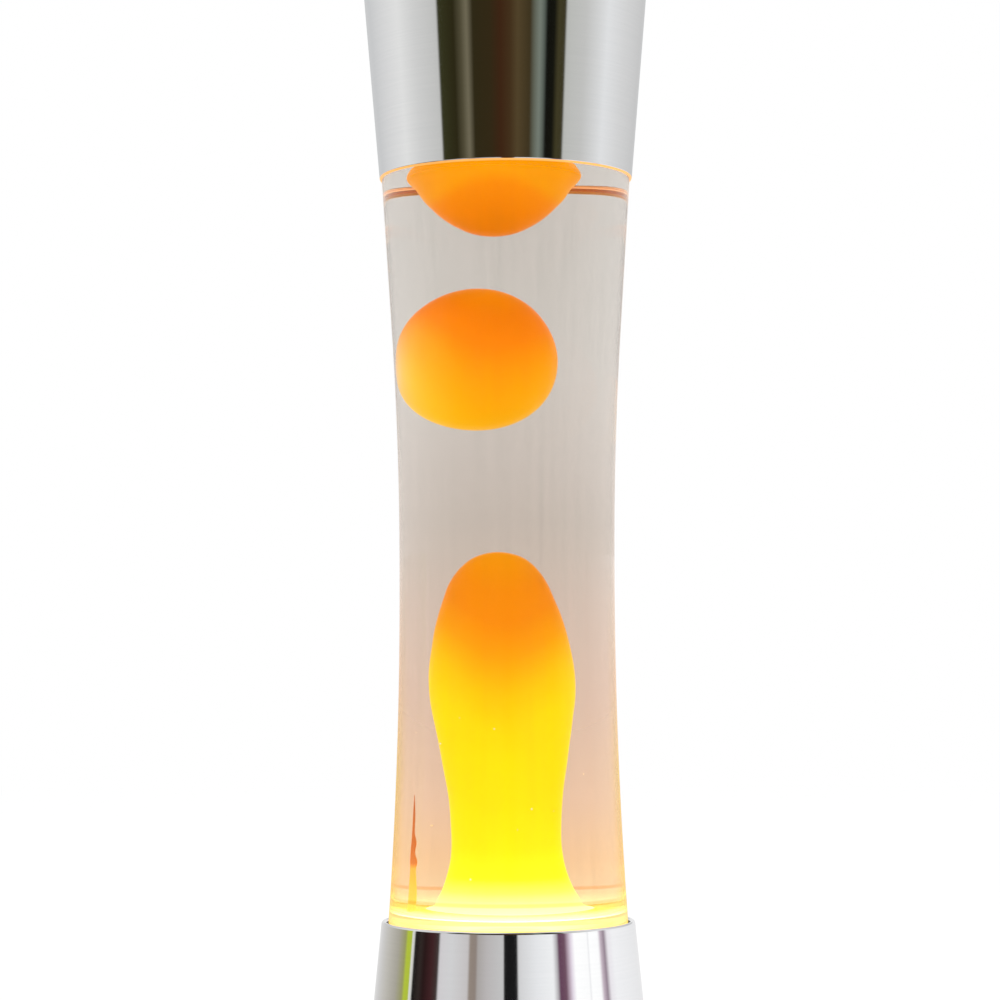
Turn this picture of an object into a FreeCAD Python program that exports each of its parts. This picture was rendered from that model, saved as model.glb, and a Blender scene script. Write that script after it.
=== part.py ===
"""Lava lamp: a sealed glass bottle of liquid and wax on a lit metal base, under a metal cap.

Millimetres, +Z up. The origin is on the lamp's axis at the surface it stands on, the viewer
stands on the -Y side and the cord's inlet is at the back, on the +Y side.
"""

import FreeCAD, Part
import math
import os
import re

import Sketcher
from FreeCAD import Placement, Rotation, Vector

# ---------------------------------------------------------------- driving dimensions

SIZES = {
    # base housing, a spun aluminium cone with a rolled rim and a turned-in foot
    "housing_root_r": 48.34,  # where the cone's outer line would meet the table
    "housing_slope": 0.1,
    "housing_wall": 0.8,
    "housing_low_z": 3.0,
    "housing_foot_fillet": 1.25,
    "housing_ledge_r": 38.5,
    "rim_z": 106.0,
    # bottle outside, a waisted body of revolution
    "bottle_z": 102.0,
    "heel_r": 4.0,
    "punt_r": 22.0,
    "punt_rise": 1.2,
    "waist_r": 32.25,
    "waist_low_z": 205.0,
    "waist_high_z": 213.0,
    "lower_arc_r": 1420.0,
    "upper_arc_r": 1085.0,
    "cone_start_z": 282.4,
    "cone_end_z": 327.0,
    "shoulder_arc_r": 14.0,
    "shoulder_turn": 62.0,  # degrees above the horizontal where the shoulder turns straight
    "neck_r": 13.3,
    "neck_fillet": 6.0,
    "finish_r": 14.6,
    "finish_z": 371.0,
    "bottle_top_z": 378.0,
    "glass_wall": 2.8,
    "floor_z": 108.0,
    "floor_corner_r": 4.6,
    # contents
    "liquid_z": 328.4,
    "liquid_gap": 0.15,
    "wax_gap": 0.3,
    "column_shift": -1.2,
    "column_foot_r": 17.5,
    "column_waist_r": 12.0,
    "column_waist_z": 132.4,
    "column_belly_r": 16.1,
    "column_belly_z": 176.0,
    "column_tip_r": 10.4,
    "column_top_z": 215.5,
    "blob_x": -8.0,
    "blob_y": -4.0,
    "blob_z": 273.0,
    "blob_r": 19.8,
    "blob_half_height": 21.2,
    "dome_x": -2.7,
    "dome_low_z": 310.3,
    "dome_tip_r": 13.3,
    "dome_lean": 34.2,
    "coil_r": 11.5,
    "coil_wire_r": 0.6,
    "coil_pitch": 2.0,
    "coil_turns": 2.0,
    "coil_z": 109.3,
    # closure
    "crown_wall": 0.35,
    "crown_clearance": 0.15,
    "crown_skirt": 4.6,
    "crown_flare": 1.2,
    "crown_bend": 1.6,
    "crown_edge_r": 0.6,
    "liner_thick": 0.8,
    # top cap, a spun aluminium cone that widens upwards
    "cap_low_z": 328.0,
    "cap_rim_r": 38.0,
    "cap_slope": 0.0843,
    "cap_wall": 0.4,
    "cap_corner_r": 2.5,
    "cap_top_z": 400.0,
    "collar_low_z": 335.0,
    "collar_step_z": 341.0,
    "collar_top_z": 345.0,
    "collar_gap": 0.25,
    "collar_wall": 2.4,
    "glue_gap": 0.05,
    # bottle seat, a flanged ring wedged into the housing's cone
    "seat_z": 101.9,
    "seat_wall": 1.0,
    "seat_skirt": 8.0,
    "seat_bore_r": 25.0,
    "seat_lip": 3.0,
    # bottom plate, feet and their fasteners
    "plate_z": 2.0,
    "plate_thick": 1.0,
    "plate_r": 45.3,
    "vent_r": 2.2,
    "vent_ring_r": 24.0,
    "foot_ring_r": 35.0,
    "foot_r": 6.0,
    "foot_edge_r": 0.6,
    "foot_stem_r": 2.5,
    "foot_barb_r": 3.1,
    "foot_barb_z": 5.0,
    "screw_ring_r": 42.0,
    "screw_head_r": 2.6,
    "screw_head": 1.4,
    "screw_r": 1.35,
    "screw_top_z": 7.0,
    "screw_hole_r": 1.6,
    "clip_side": 6.5,
    "clip_thick": 1.3,
    # bracket that carries the lampholder
    "bracket_width": 16.0,
    "bracket_thick": 1.2,
    "bracket_foot_x": 28.0,
    "bracket_riser_x": 18.0,
    "bracket_top_z": 9.8,
    "bracket_screw_x": 23.5,
    "bracket_screw_top_z": 8.0,
    "nut_corner_r": 3.1,
    "nut_thick": 2.4,
    "nipple_r": 5.0,
    "nipple_bore_r": 3.4,
    "nipple_low_z": 5.0,
    "locknut_corner_r": 8.0,
    "locknut_thick": 2.4,
    "fit_gap": 0.05,
    # lampholder
    "holder_r": 14.0,
    "holder_top_r": 12.5,
    "holder_taper_z": 31.0,
    "holder_top_z": 37.0,
    "holder_floor": 3.2,
    "holder_chamber_r": 9.5,
    "holder_chamber_z": 17.0,
    "holder_bore_r": 8.3,
    "shell_bore_r": 7.15,
    "shell_wall": 0.4,
    "shell_low_z": 19.0,
    "shell_top_z": 34.0,
    "contact_half": 3.0,
    "contact_riser_x": 6.2,
    "contact_foot_x": 9.0,
    "contact_leaf": 0.6,
    "contact_width": 5.0,
    "contact_top_z": 17.9,
    "terminal_z": 15.0,
    "terminal_r": 1.5,
    "terminal_head_r": 2.4,
    "terminal_head": 1.5,
    # reflector bulb
    "tip_z": 18.0,
    "tip_top_z": 19.4,
    "tip_r": 2.2,
    "insulator_low_r": 3.2,
    "insulator_top_r": 6.3,
    "insulator_z": 19.5,
    "thread_z": 21.3,
    "thread_r": 6.95,
    "thread_wall": 0.3,
    "thread_top_z": 37.4,
    "flare_r": 8.0,
    "flare_z": 38.4,
    "flare_top_z": 40.4,
    "envelope_neck_r": 7.4,
    "envelope_low_z": 38.2,
    "envelope_cone_z": 46.0,
    "envelope_r": 19.5,
    "envelope_wide_z": 73.0,
    "envelope_shoulder_r": 6.0,
    "envelope_dome_edge_r": 15.5,
    "envelope_dome_r": 33.5,
    "envelope_top_z": 84.0,
    "envelope_wall": 0.8,
    "stem_flare_r": 6.3,
    "stem_r": 1.7,
    "stem_top_z": 58.0,
    "lead_r": 0.25,
    "lead_low_x": 1.0,
    "lead_low_z": 56.5,
    "filament_span": 6.0,
    "filament_z": 67.0,
    "filament_r": 0.35,
    # cord inlet
    "inlet_z": 15.0,
    "inlet_bore_r": 3.1,
    "inlet_hole_r": 4.6,
    "inlet_flange_r": 6.3,
    "inlet_inner_y": 42.5,
    "inlet_outer_y": 47.7,
    "inlet_tail_y": 39.0,
}

FEET_ANGLES = (45.0, 135.0, 225.0, 315.0)
SCREW_ANGLES = (0.0, 90.0, 180.0, 270.0)
COIL_STEPS = 24  # points of the coil's line in each turn
VENT_ANGLES = (30.0, 60.0, 90.0, 120.0, 150.0, 210.0, 240.0, 270.0, 300.0, 330.0)

# ---------------------------------------------------------------- derived formulas

HOUSING_LEAN = "sqrt(1 + housing_slope^2)"
HOUSING_INNER_R = f"(housing_root_r - housing_wall * {HOUSING_LEAN})"
HEEL_Z = "(bottle_z + heel_r)"
HEEL_X = (
    "(waist_r + lower_arc_r"
    f" - sqrt((lower_arc_r + heel_r)^2 - (waist_low_z - {HEEL_Z})^2))"
)
SHOULDER_LEAN = "((cone_start_z - waist_high_z) / upper_arc_r)"  # sine of the cone's tilt
SHOULDER_COS = f"sqrt(1 - {SHOULDER_LEAN}^2)"
CONE_START_R = f"(waist_r + upper_arc_r * (1 - {SHOULDER_COS}))"
CONE_END_R = f"({CONE_START_R} + (cone_end_z - cone_start_z) * {SHOULDER_LEAN} / {SHOULDER_COS})"
SHOULDER_X = f"({CONE_END_R} - shoulder_arc_r * {SHOULDER_COS})"
SHOULDER_Z = f"(cone_end_z + shoulder_arc_r * {SHOULDER_LEAN})"
TURN_COS = "cos(shoulder_turn * 1 deg)"
TURN_SIN = "sin(shoulder_turn * 1 deg)"
NECK_FILLET_X = "(neck_r + neck_fillet)"
# the straight part of the shoulder touches both arcs, which puts the neck fillet's centre here
NECK_FILLET_Z = (
    f"({SHOULDER_Z} + (shoulder_arc_r + neck_fillet"
    f" - ({NECK_FILLET_X} - {SHOULDER_X}) * {TURN_COS}) / {TURN_SIN})"
)
CAP_LEAN = "sqrt(1 + cap_slope^2)"
CAP_CORNER_Z = "(cap_top_z - cap_corner_r)"
CAP_CORNER_X = (
    f"(cap_rim_r + ({CAP_CORNER_Z} - cap_low_z) * cap_slope - cap_corner_r * {CAP_LEAN})"
)
CAP_INNER_R = f"(cap_rim_r - cap_wall * {CAP_LEAN})"


def named(formula):
    """The formula with the sheet's name put before each of its dimensions."""

    def with_sheet(match):
        word = match.group()
        return "Sizes." + word if word in SIZES else word

    return re.sub(r"[a-z_][a-z_0-9]*", with_sheet, formula)


def make_sheet(doc):
    """The sheet of driving dimensions, one named cell each."""
    sheet = doc.addObject("Spreadsheet::Sheet", "Sizes")
    for row, (name, value) in enumerate(SIZES.items(), start=1):
        sheet.set(f"A{row}", name)
        sheet.set(f"B{row}", str(value))
        sheet.setAlias(f"B{row}", name)
    doc.recompute()
    return sheet


def value(doc, formula):
    """What a formula of the sheet's dimensions comes to now."""
    return float(doc.getObject("Sizes").evalExpression(named(formula)))


# ---------------------------------------------------------------- sketches and features


def new_body(doc, label):
    """An empty body whose label names its file."""
    body = doc.addObject("PartDesign::Body", label)
    body.Label = label
    return body


def new_sketch(body, name, role="XZ_Plane", offset=None):
    """A sketch on one of the body's own origin planes, moved along the plane's normal."""
    sketch = body.newObject("Sketcher::SketchObject", f"{body.Name}_{name}")
    plane = next(f for f in body.Origin.OriginFeatures if f.Role == role)
    sketch.AttachmentSupport = [(plane, "")]
    sketch.MapMode = "FlatFace"
    if offset is not None:
        sketch.setExpression("AttachmentOffset.Base.z", named(offset))
    return sketch


def pin_point(sketch, geo, pos, x_formula, y_formula):
    """Ties one point of a sketch to its two formulas."""
    for kind, formula, axis in (("DistanceX", x_formula, -2), ("DistanceY", y_formula, -1)):
        amount = value(sketch.Document, formula)
        if abs(amount) < 1e-9:
            sketch.addConstraint(Sketcher.Constraint("PointOnObject", geo, pos, axis))
        elif amount > 0:
            index = sketch.addConstraint(Sketcher.Constraint(kind, -1, 1, geo, pos, amount))
            sketch.setExpression(f"Constraints[{index}]", named(formula))
        else:
            index = sketch.addConstraint(Sketcher.Constraint(kind, geo, pos, -1, 1, -amount))
            sketch.setExpression(f"Constraints[{index}]", named(f"-({formula})"))


def arc_between(start, end, radius, side, large):
    """The arc from start to end with its centre on one side, and which end it starts from."""
    chord = end.sub(start)
    left = Vector(-chord.y, chord.x, 0).normalize()
    rise = math.sqrt(max(radius**2 - (chord.Length / 2) ** 2, 0))
    if large:
        rise = -rise
    turn = 1 if side == "left" else -1
    centre = start.add(end).multiply(0.5).add(left.multiply(turn * rise))
    first, last = (start, end) if side == "left" else (end, start)
    angles = [math.atan2(p.y - centre.y, p.x - centre.x) for p in (first, last)]
    circle = Part.Circle(centre, Vector(0, 0, 1), radius)
    return Part.ArcOfCircle(circle, angles[0], angles[1])


def draw_outline(sketch, path):
    """A closed outline. Each corner is (x, y), or (x, y, radius, side[, "large"]) where an arc
    leads to it with its centre on that side of the way there."""
    doc = sketch.Document
    spots = [Vector(value(doc, c[0]), value(doc, c[1]), 0) for c in path]
    pieces = []
    for i, corner in enumerate(path):
        start, end = spots[i - 1], spots[i]
        if len(corner) == 2:
            geo = sketch.addGeometry(Part.LineSegment(start, end), False)
            pieces.append((geo, 1, 2))
            continue
        radius = value(doc, corner[2])
        large = len(corner) == 5
        geo = sketch.addGeometry(arc_between(start, end, radius, corner[3], large), False)
        pieces.append((geo, 1, 2) if corner[3] == "left" else (geo, 2, 1))
    for i, (geo, _, last) in enumerate(pieces):
        after, first, _ = pieces[(i + 1) % len(pieces)]
        sketch.addConstraint(Sketcher.Constraint("Coincident", geo, last, after, first))
        pin_point(sketch, geo, last, path[i][0], path[i][1])
        if len(path[i]) > 2:
            radius = value(doc, path[i][2])
            index = sketch.addConstraint(Sketcher.Constraint("Radius", geo, radius))
            sketch.setExpression(f"Constraints[{index}]", named(path[i][2]))


def draw_circle(sketch, x_formula, y_formula, r_formula):
    """A circle tied to its formulas."""
    doc = sketch.Document
    centre = Vector(value(doc, x_formula), value(doc, y_formula), 0)
    radius = value(doc, r_formula)
    geo = sketch.addGeometry(Part.Circle(centre, Vector(0, 0, 1), radius), False)
    pin_point(sketch, geo, 3, x_formula, y_formula)
    index = sketch.addConstraint(Sketcher.Constraint("Radius", geo, radius))
    sketch.setExpression(f"Constraints[{index}]", named(r_formula))


def on_ring(ring_formula, angle):
    """The two formulas of a point on a ring about the lamp's axis."""
    return (
        f"{ring_formula} * {math.cos(math.radians(angle)):.9f}",
        f"{ring_formula} * {math.sin(math.radians(angle)):.9f}",
    )


def turned(doc, label, path):
    """A body turned about the lamp's axis from an outline of (radius, height)."""
    body = new_body(doc, label)
    sketch = new_sketch(body, "outline")
    draw_outline(sketch, path)
    revolution = body.newObject("PartDesign::Revolution", f"{label}_turn")
    revolution.Profile = sketch
    revolution.ReferenceAxis = (sketch, ["V_Axis"])
    revolution.Angle = 360
    doc.recompute()
    return body


def pad(body, sketch, length_formula, both_ways=False):
    """A pad of the sketch."""
    feature = body.newObject("PartDesign::Pad", f"{sketch.Name}_pad")
    feature.Profile = sketch
    feature.setExpression("Length", named(length_formula))
    feature.Midplane = both_ways
    body.Document.recompute()


def pocket(body, sketch, length_formula, reverse):
    """A pocket of the sketch, which has to take material away."""
    before = body.Shape.Volume
    feature = body.newObject("PartDesign::Pocket", f"{sketch.Name}_pocket")
    feature.Profile = sketch
    feature.setExpression("Length", named(length_formula))
    feature.Reversed = reverse
    body.Document.recompute()
    if body.Shape.Volume > before - 0.1:
        raise RuntimeError(f"{sketch.Name} cuts nothing")


def cylinder(doc, name, radius, height, spot, rotation=None):
    """A cylinder primitive standing at a point given by three formulas."""
    part = doc.addObject("Part::Cylinder", name)
    part.setExpression("Radius", named(radius))
    part.setExpression("Height", named(height))
    if rotation is not None:
        part.Placement = Placement(Vector(0, 0, 0), rotation)
    place(part, spot)
    return part


def place(part, spot):
    """Binds a part's position to three formulas."""
    for axis, formula in zip("xyz", spot):
        part.setExpression(f"Placement.Base.{axis}", named(formula))


def fused(doc, name, parts):
    """One solid made of several."""
    joined = doc.addObject("Part::MultiFuse", name)
    joined.Shapes = parts
    return joined


def cut(doc, name, base, tool):
    """The base with the tool's space taken out of it."""
    result = doc.addObject("Part::Cut", name)
    result.Base = base
    result.Tool = tool
    return result


def group(doc, label, parts):
    """Several separate solids as one sub-part."""
    compound = doc.addObject("Part::Compound", label)
    compound.Label = label
    compound.Links = parts
    return compound


# ---------------------------------------------------------------- base


def make_housing(doc):
    """The spun cone: turned-in foot, straight wall, rolled rim, screw holes and cord hole."""
    foot_z = "(housing_low_z + housing_foot_fillet)"
    foot_x = (
        f"(housing_root_r - housing_slope * {foot_z} - housing_foot_fillet * {HOUSING_LEAN})"
    )
    bead_z = "(rim_z - housing_wall)"
    bead_x = f"(housing_root_r - housing_slope * {bead_z} - housing_wall * {HOUSING_LEAN})"
    body = turned(
        doc,
        "base_housing",
        [
            ("housing_ledge_r", "housing_low_z"),
            (foot_x, "housing_low_z"),
            (
                f"{foot_x} + housing_foot_fillet / {HOUSING_LEAN}",
                f"{foot_z} + housing_foot_fillet * housing_slope / {HOUSING_LEAN}",
                "housing_foot_fillet",
                "left",
            ),
            (
                f"{bead_x} + housing_wall / {HOUSING_LEAN}",
                f"{bead_z} + housing_wall * housing_slope / {HOUSING_LEAN}",
            ),
            (
                f"{bead_x} + housing_wall * housing_slope / {HOUSING_LEAN}",
                f"{bead_z} - housing_wall / {HOUSING_LEAN}",
                "housing_wall",
                "left",
                "large",
            ),
            (
                f"{HOUSING_INNER_R} - housing_slope * (housing_low_z + housing_wall)",
                "housing_low_z + housing_wall",
            ),
            ("housing_ledge_r", "housing_low_z + housing_wall"),
        ],
    )
    holes = new_sketch(body, "screw_holes", "XY_Plane")
    for angle in SCREW_ANGLES:
        draw_circle(holes, *on_ring("screw_ring_r", angle), "screw_hole_r")
    pocket(body, holes, "housing_low_z + housing_wall + 1", reverse=True)
    inlet = new_sketch(body, "inlet_hole")
    draw_circle(inlet, "0", "inlet_z", "inlet_hole_r")
    pocket(body, inlet, "housing_root_r + 1", reverse=False)
    return body


def make_seat(doc):
    """The ring the bottle stands on, with a skirt that wedges in the housing's cone."""
    wall_top = f"({HOUSING_INNER_R} - housing_slope * seat_z - fit_gap)"
    skirt_z = "(seat_z - seat_skirt)"
    wall_low = f"({HOUSING_INNER_R} - housing_slope * {skirt_z} - fit_gap)"
    return turned(
        doc,
        "bottle_seat",
        [
            ("seat_bore_r", "seat_z"),
            ("seat_bore_r", "seat_z - seat_lip"),
            ("seat_bore_r + seat_wall", "seat_z - seat_lip"),
            ("seat_bore_r + seat_wall", "seat_z - seat_wall"),
            (f"{wall_top} - seat_wall", "seat_z - seat_wall"),
            (f"{wall_low} - seat_wall", skirt_z),
            (wall_low, skirt_z),
            (wall_top, "seat_z"),
        ],
    )


def make_bottom_plate(doc):
    """The steel plate under the housing, with vents and the holes of what it carries."""
    body = new_body(doc, "bottom_plate")
    disc = new_sketch(body, "disc", "XY_Plane", "plate_z")
    draw_circle(disc, "0", "0", "plate_r")
    for angle in VENT_ANGLES:
        draw_circle(disc, *on_ring("vent_ring_r", angle), "vent_r")
    for angle in FEET_ANGLES:
        draw_circle(disc, *on_ring("foot_ring_r", angle), "foot_stem_r + fit_gap")
    for angle in SCREW_ANGLES:
        draw_circle(disc, *on_ring("screw_ring_r", angle), "screw_hole_r")
    for side in ("", "-"):
        draw_circle(disc, f"{side}bracket_screw_x", "0", "screw_hole_r")
    pad(body, disc, "plate_thick")
    return body


def make_foot(doc, number, angle):
    """A rubber foot pushed into the plate, held by its barb."""
    top = "(plate_z + plate_thick)"
    body = turned(
        doc,
        f"foot_{number}",
        [
            ("0", "0"),
            ("foot_r - foot_edge_r", "0"),
            ("foot_r", "foot_edge_r", "foot_edge_r", "left"),
            ("foot_r", "plate_z"),
            ("foot_stem_r", "plate_z"),
            ("foot_stem_r", top),
            ("foot_barb_r", top),
            ("foot_stem_r - 0.6", "foot_barb_z"),
            ("0", "foot_barb_z"),
        ],
    )
    place(body, (*on_ring("foot_ring_r", angle), "0"))
    return body


def make_screw(doc, name, spot_x, spot_y, top_z):
    """A pan-head screw driven up through the plate from below."""
    head = cylinder(
        doc,
        f"{name}_head",
        "screw_head_r",
        "screw_head",
        (spot_x, spot_y, "plate_z - screw_head"),
    )
    shank = cylinder(
        doc, f"{name}_shank", "screw_r", f"{top_z} - plate_z", (spot_x, spot_y, "plate_z")
    )
    return fused(doc, name, [head, shank])


def make_plate_fasteners(doc):
    """The screws that hold the plate to the housing's ledge, and their spring clips."""
    screws = []
    clips = []
    for number, angle in enumerate(SCREW_ANGLES, start=1):
        x, y = on_ring("screw_ring_r", angle)
        screws.append(make_screw(doc, f"plate_screw_{number}", x, y, "screw_top_z"))
        blank = doc.addObject("Part::Box", f"clip_blank_{number}")
        blank.setExpression("Length", named("clip_side"))
        blank.setExpression("Width", named("clip_side"))
        blank.setExpression("Height", named("clip_thick"))
        ledge_top = "housing_low_z + housing_wall"
        place(blank, (f"{x} - clip_side / 2", f"{y} - clip_side / 2", ledge_top))
        hole = cylinder(
            doc,
            f"clip_hole_{number}",
            "screw_r + fit_gap",
            "clip_thick + 2",
            (x, y, f"{ledge_top} - 1"),
        )
        clips.append(cut(doc, f"clip_{number}", blank, hole))
    return group(doc, "plate_screws", screws), group(doc, "plate_clips", clips)


def make_bracket(doc):
    """The bridge of steel strip that lifts the lampholder off the plate."""
    low = "(plate_z + plate_thick)"
    foot_top = f"({low} + bracket_thick)"
    under = "(bracket_top_z - bracket_thick)"
    body = new_body(doc, "holder_bracket")
    strip = new_sketch(body, "strip")
    right = [
        ("bracket_riser_x", foot_top),
        ("bracket_riser_x", "bracket_top_z"),
    ]
    draw_outline(
        strip,
        [
            ("bracket_foot_x", low),
            ("bracket_foot_x", foot_top),
            *right,
            ("-bracket_riser_x", "bracket_top_z"),
            ("-bracket_riser_x", foot_top),
            ("-bracket_foot_x", foot_top),
            ("-bracket_foot_x", low),
            ("-bracket_riser_x + bracket_thick", low),
            ("-bracket_riser_x + bracket_thick", under),
            ("bracket_riser_x - bracket_thick", under),
            ("bracket_riser_x - bracket_thick", low),
        ],
    )
    pad(body, strip, "bracket_width", both_ways=True)
    holes = new_sketch(body, "holes", "XY_Plane", low)
    draw_circle(holes, "0", "0", "nipple_r + fit_gap")
    for side in ("", "-"):
        draw_circle(holes, f"{side}bracket_screw_x", "0", "screw_hole_r")
    pocket(body, holes, "bracket_top_z", reverse=True)
    return body


def make_hex_nut(doc, name, corner_r, thick, bore_r, spot):
    """A plain hexagonal nut."""
    blank = doc.addObject("Part::Prism", f"{name}_blank")
    blank.Polygon = 6
    blank.setExpression("Circumradius", named(corner_r))
    blank.setExpression("Height", named(thick))
    place(blank, spot)
    x, y, z = spot
    hole = cylinder(doc, f"{name}_bore", bore_r, f"{thick} + 2", (x, y, f"{z} - 1"))
    return cut(doc, name, blank, hole)


def make_bracket_fasteners(doc):
    """The two screws and nuts that hold the bracket to the plate."""
    foot_top = "plate_z + plate_thick + bracket_thick"
    screws = []
    nuts = []
    for number, side in enumerate(("", "-"), start=1):
        x = f"{side}bracket_screw_x"
        screws.append(make_screw(doc, f"bracket_screw_{number}", x, "0", "bracket_screw_top_z"))
        nuts.append(
            make_hex_nut(
                doc,
                f"bracket_nut_{number}",
                "nut_corner_r",
                "nut_thick",
                "screw_r + fit_gap",
                (x, "0", foot_top),
            )
        )
    return group(doc, "bracket_screws", screws), group(doc, "bracket_nuts", nuts)


def make_nipple(doc):
    """The threaded tube that clamps the lampholder to its bracket and lets the wires in."""
    top = "bracket_top_z + holder_floor - fit_gap"
    return turned(
        doc,
        "holder_nipple",
        [
            ("nipple_bore_r", "nipple_low_z"),
            ("nipple_r", "nipple_low_z"),
            ("nipple_r", top),
            ("nipple_bore_r", top),
        ],
    )


def make_locknut(doc):
    """The nut on the nipple, under the bracket."""
    nut = make_hex_nut(
        doc,
        "holder_locknut",
        "locknut_corner_r",
        "locknut_thick",
        "nipple_r + fit_gap",
        ("0", "0", "bracket_top_z - bracket_thick - locknut_thick"),
    )
    nut.Label = "holder_locknut"
    return nut


def make_lampholder(doc):
    """The moulded body of the screw lampholder."""
    floor_top = "(bracket_top_z + holder_floor)"
    body = turned(
        doc,
        "lampholder_body",
        [
            ("nipple_r + fit_gap", "bracket_top_z"),
            ("holder_r", "bracket_top_z"),
            ("holder_r", "holder_taper_z"),
            ("holder_top_r", "holder_top_z"),
            ("holder_bore_r", "holder_top_z"),
            ("holder_bore_r", "holder_chamber_z"),
            ("holder_chamber_r", "holder_chamber_z"),
            ("holder_chamber_r", floor_top),
            ("nipple_r + fit_gap", floor_top),
        ],
    )
    holes = new_sketch(body, "terminal_holes", "YZ_Plane", "-holder_r - 1")
    draw_circle(holes, "0", "terminal_z", "terminal_r + fit_gap")
    pocket(body, holes, "2 * holder_r + 2", reverse=True)
    return body


def make_screw_shell(doc):
    """The brass thread of the lampholder, with a flange that rests on the chamber's edge."""
    outer = "(shell_bore_r + shell_wall)"
    return turned(
        doc,
        "holder_screw_shell",
        [
            ("shell_bore_r", "shell_low_z"),
            ("holder_bore_r - fit_gap", "shell_low_z"),
            ("holder_bore_r - fit_gap", "shell_low_z + shell_wall"),
            (outer, "shell_low_z + shell_wall"),
            (outer, "shell_top_z"),
            ("shell_bore_r", "shell_top_z"),
        ],
    )


def make_centre_contact(doc):
    """The brass leaf under the bulb's tip, folded down to the lampholder's floor."""
    low = "(bracket_top_z + holder_floor)"
    under = "(contact_top_z - contact_leaf)"
    body = new_body(doc, "holder_centre_contact")
    leaf = new_sketch(body, "leaf")
    draw_outline(
        leaf,
        [
            ("contact_foot_x", low),
            ("contact_foot_x", f"{low} + contact_leaf"),
            ("contact_riser_x", f"{low} + contact_leaf"),
            ("contact_riser_x", "contact_top_z"),
            ("-contact_half", "contact_top_z"),
            ("-contact_half", under),
            ("contact_riser_x - contact_leaf", under),
            ("contact_riser_x - contact_leaf", low),
        ],
    )
    pad(body, leaf, "contact_width", both_ways=True)
    return body


def make_terminal_screws(doc):
    """The two brass screws in the side of the lampholder."""
    screws = []
    shank = "(holder_r - holder_chamber_r - 0.4)"
    for number, (side, tilt) in enumerate((("", 90), ("-", -90)), start=1):
        rotation = Rotation(Vector(0, 1, 0), tilt)
        start = f"{side}(holder_r - {shank})"
        stem = cylinder(
            doc,
            f"terminal_stem_{number}",
            "terminal_r",
            shank,
            (start, "0", "terminal_z"),
            rotation,
        )
        head = cylinder(
            doc,
            f"terminal_head_{number}",
            "terminal_head_r",
            "terminal_head",
            (f"{side}holder_r", "0", "terminal_z"),
            rotation,
        )
        screws.append(fused(doc, f"terminal_screw_{number}", [stem, head]))
    return group(doc, "terminal_screws", screws)


def make_grommet(doc):
    """The bush in the housing's back wall, with a flange on each side of the wall."""
    backwards = Rotation(Vector(1, 0, 0), -90)
    tube = cylinder(
        doc,
        "grommet_tube",
        "inlet_hole_r - fit_gap",
        "inlet_outer_y - inlet_tail_y",
        ("0", "inlet_tail_y", "inlet_z"),
        backwards,
    )
    flange = cylinder(
        doc,
        "grommet_flange",
        "inlet_flange_r",
        "inlet_outer_y - inlet_inner_y",
        ("0", "inlet_inner_y", "inlet_z"),
        backwards,
    )
    bore = cylinder(
        doc,
        "grommet_bore",
        "inlet_bore_r",
        "inlet_outer_y - inlet_tail_y + 2",
        ("0", "inlet_tail_y - 1", "inlet_z"),
        backwards,
    )
    space_top = "(2 * inlet_z)"
    shell = turned(
        doc,
        "grommet_wall_space",
        [
            (f"{HOUSING_INNER_R} - fit_gap", "0"),
            ("housing_root_r + fit_gap", "0"),
            (f"housing_root_r - housing_slope * {space_top} + fit_gap", space_top),
            (f"{HOUSING_INNER_R} - housing_slope * {space_top} - fit_gap", space_top),
        ],
    )
    flanges = cut(doc, "grommet_flanges", flange, shell)
    whole = fused(doc, "grommet_whole", [tube, flanges])
    grommet = cut(doc, "cord_grommet", whole, bore)
    grommet.Label = "cord_grommet"
    return grommet


# ---------------------------------------------------------------- bulb


def make_bulb_cap(doc):
    """The bulb's metal screw cap. Its thread is drawn as a plain tube of the thread's size."""
    inner = "(thread_r - thread_wall)"
    return turned(
        doc,
        "bulb_screw_cap",
        [
            (inner, "thread_z"),
            ("thread_r", "thread_z"),
            ("thread_r", "thread_top_z"),
            ("flare_r", "flare_z"),
            ("flare_r", "flare_top_z"),
            ("flare_r - thread_wall", "flare_top_z"),
            ("flare_r - thread_wall", "flare_z"),
            (inner, "thread_top_z"),
        ],
    )


def make_bulb_insulator(doc):
    """The black glass ring between the cap's thread and its tip."""
    return turned(
        doc,
        "bulb_insulator",
        [
            ("0", "insulator_z"),
            ("insulator_low_r", "insulator_z"),
            ("insulator_top_r", "thread_z"),
            ("0", "thread_z"),
        ],
    )


def make_tip_contact(doc):
    """The solder button at the bulb's tip."""
    return turned(
        doc,
        "bulb_tip_contact",
        [
            ("0", "tip_z"),
            ("tip_r - 0.8", "tip_z"),
            ("tip_r", "tip_z + 0.8", "0.8", "left"),
            ("tip_r", "tip_top_z"),
            ("0", "tip_top_z"),
        ],
    )


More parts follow.
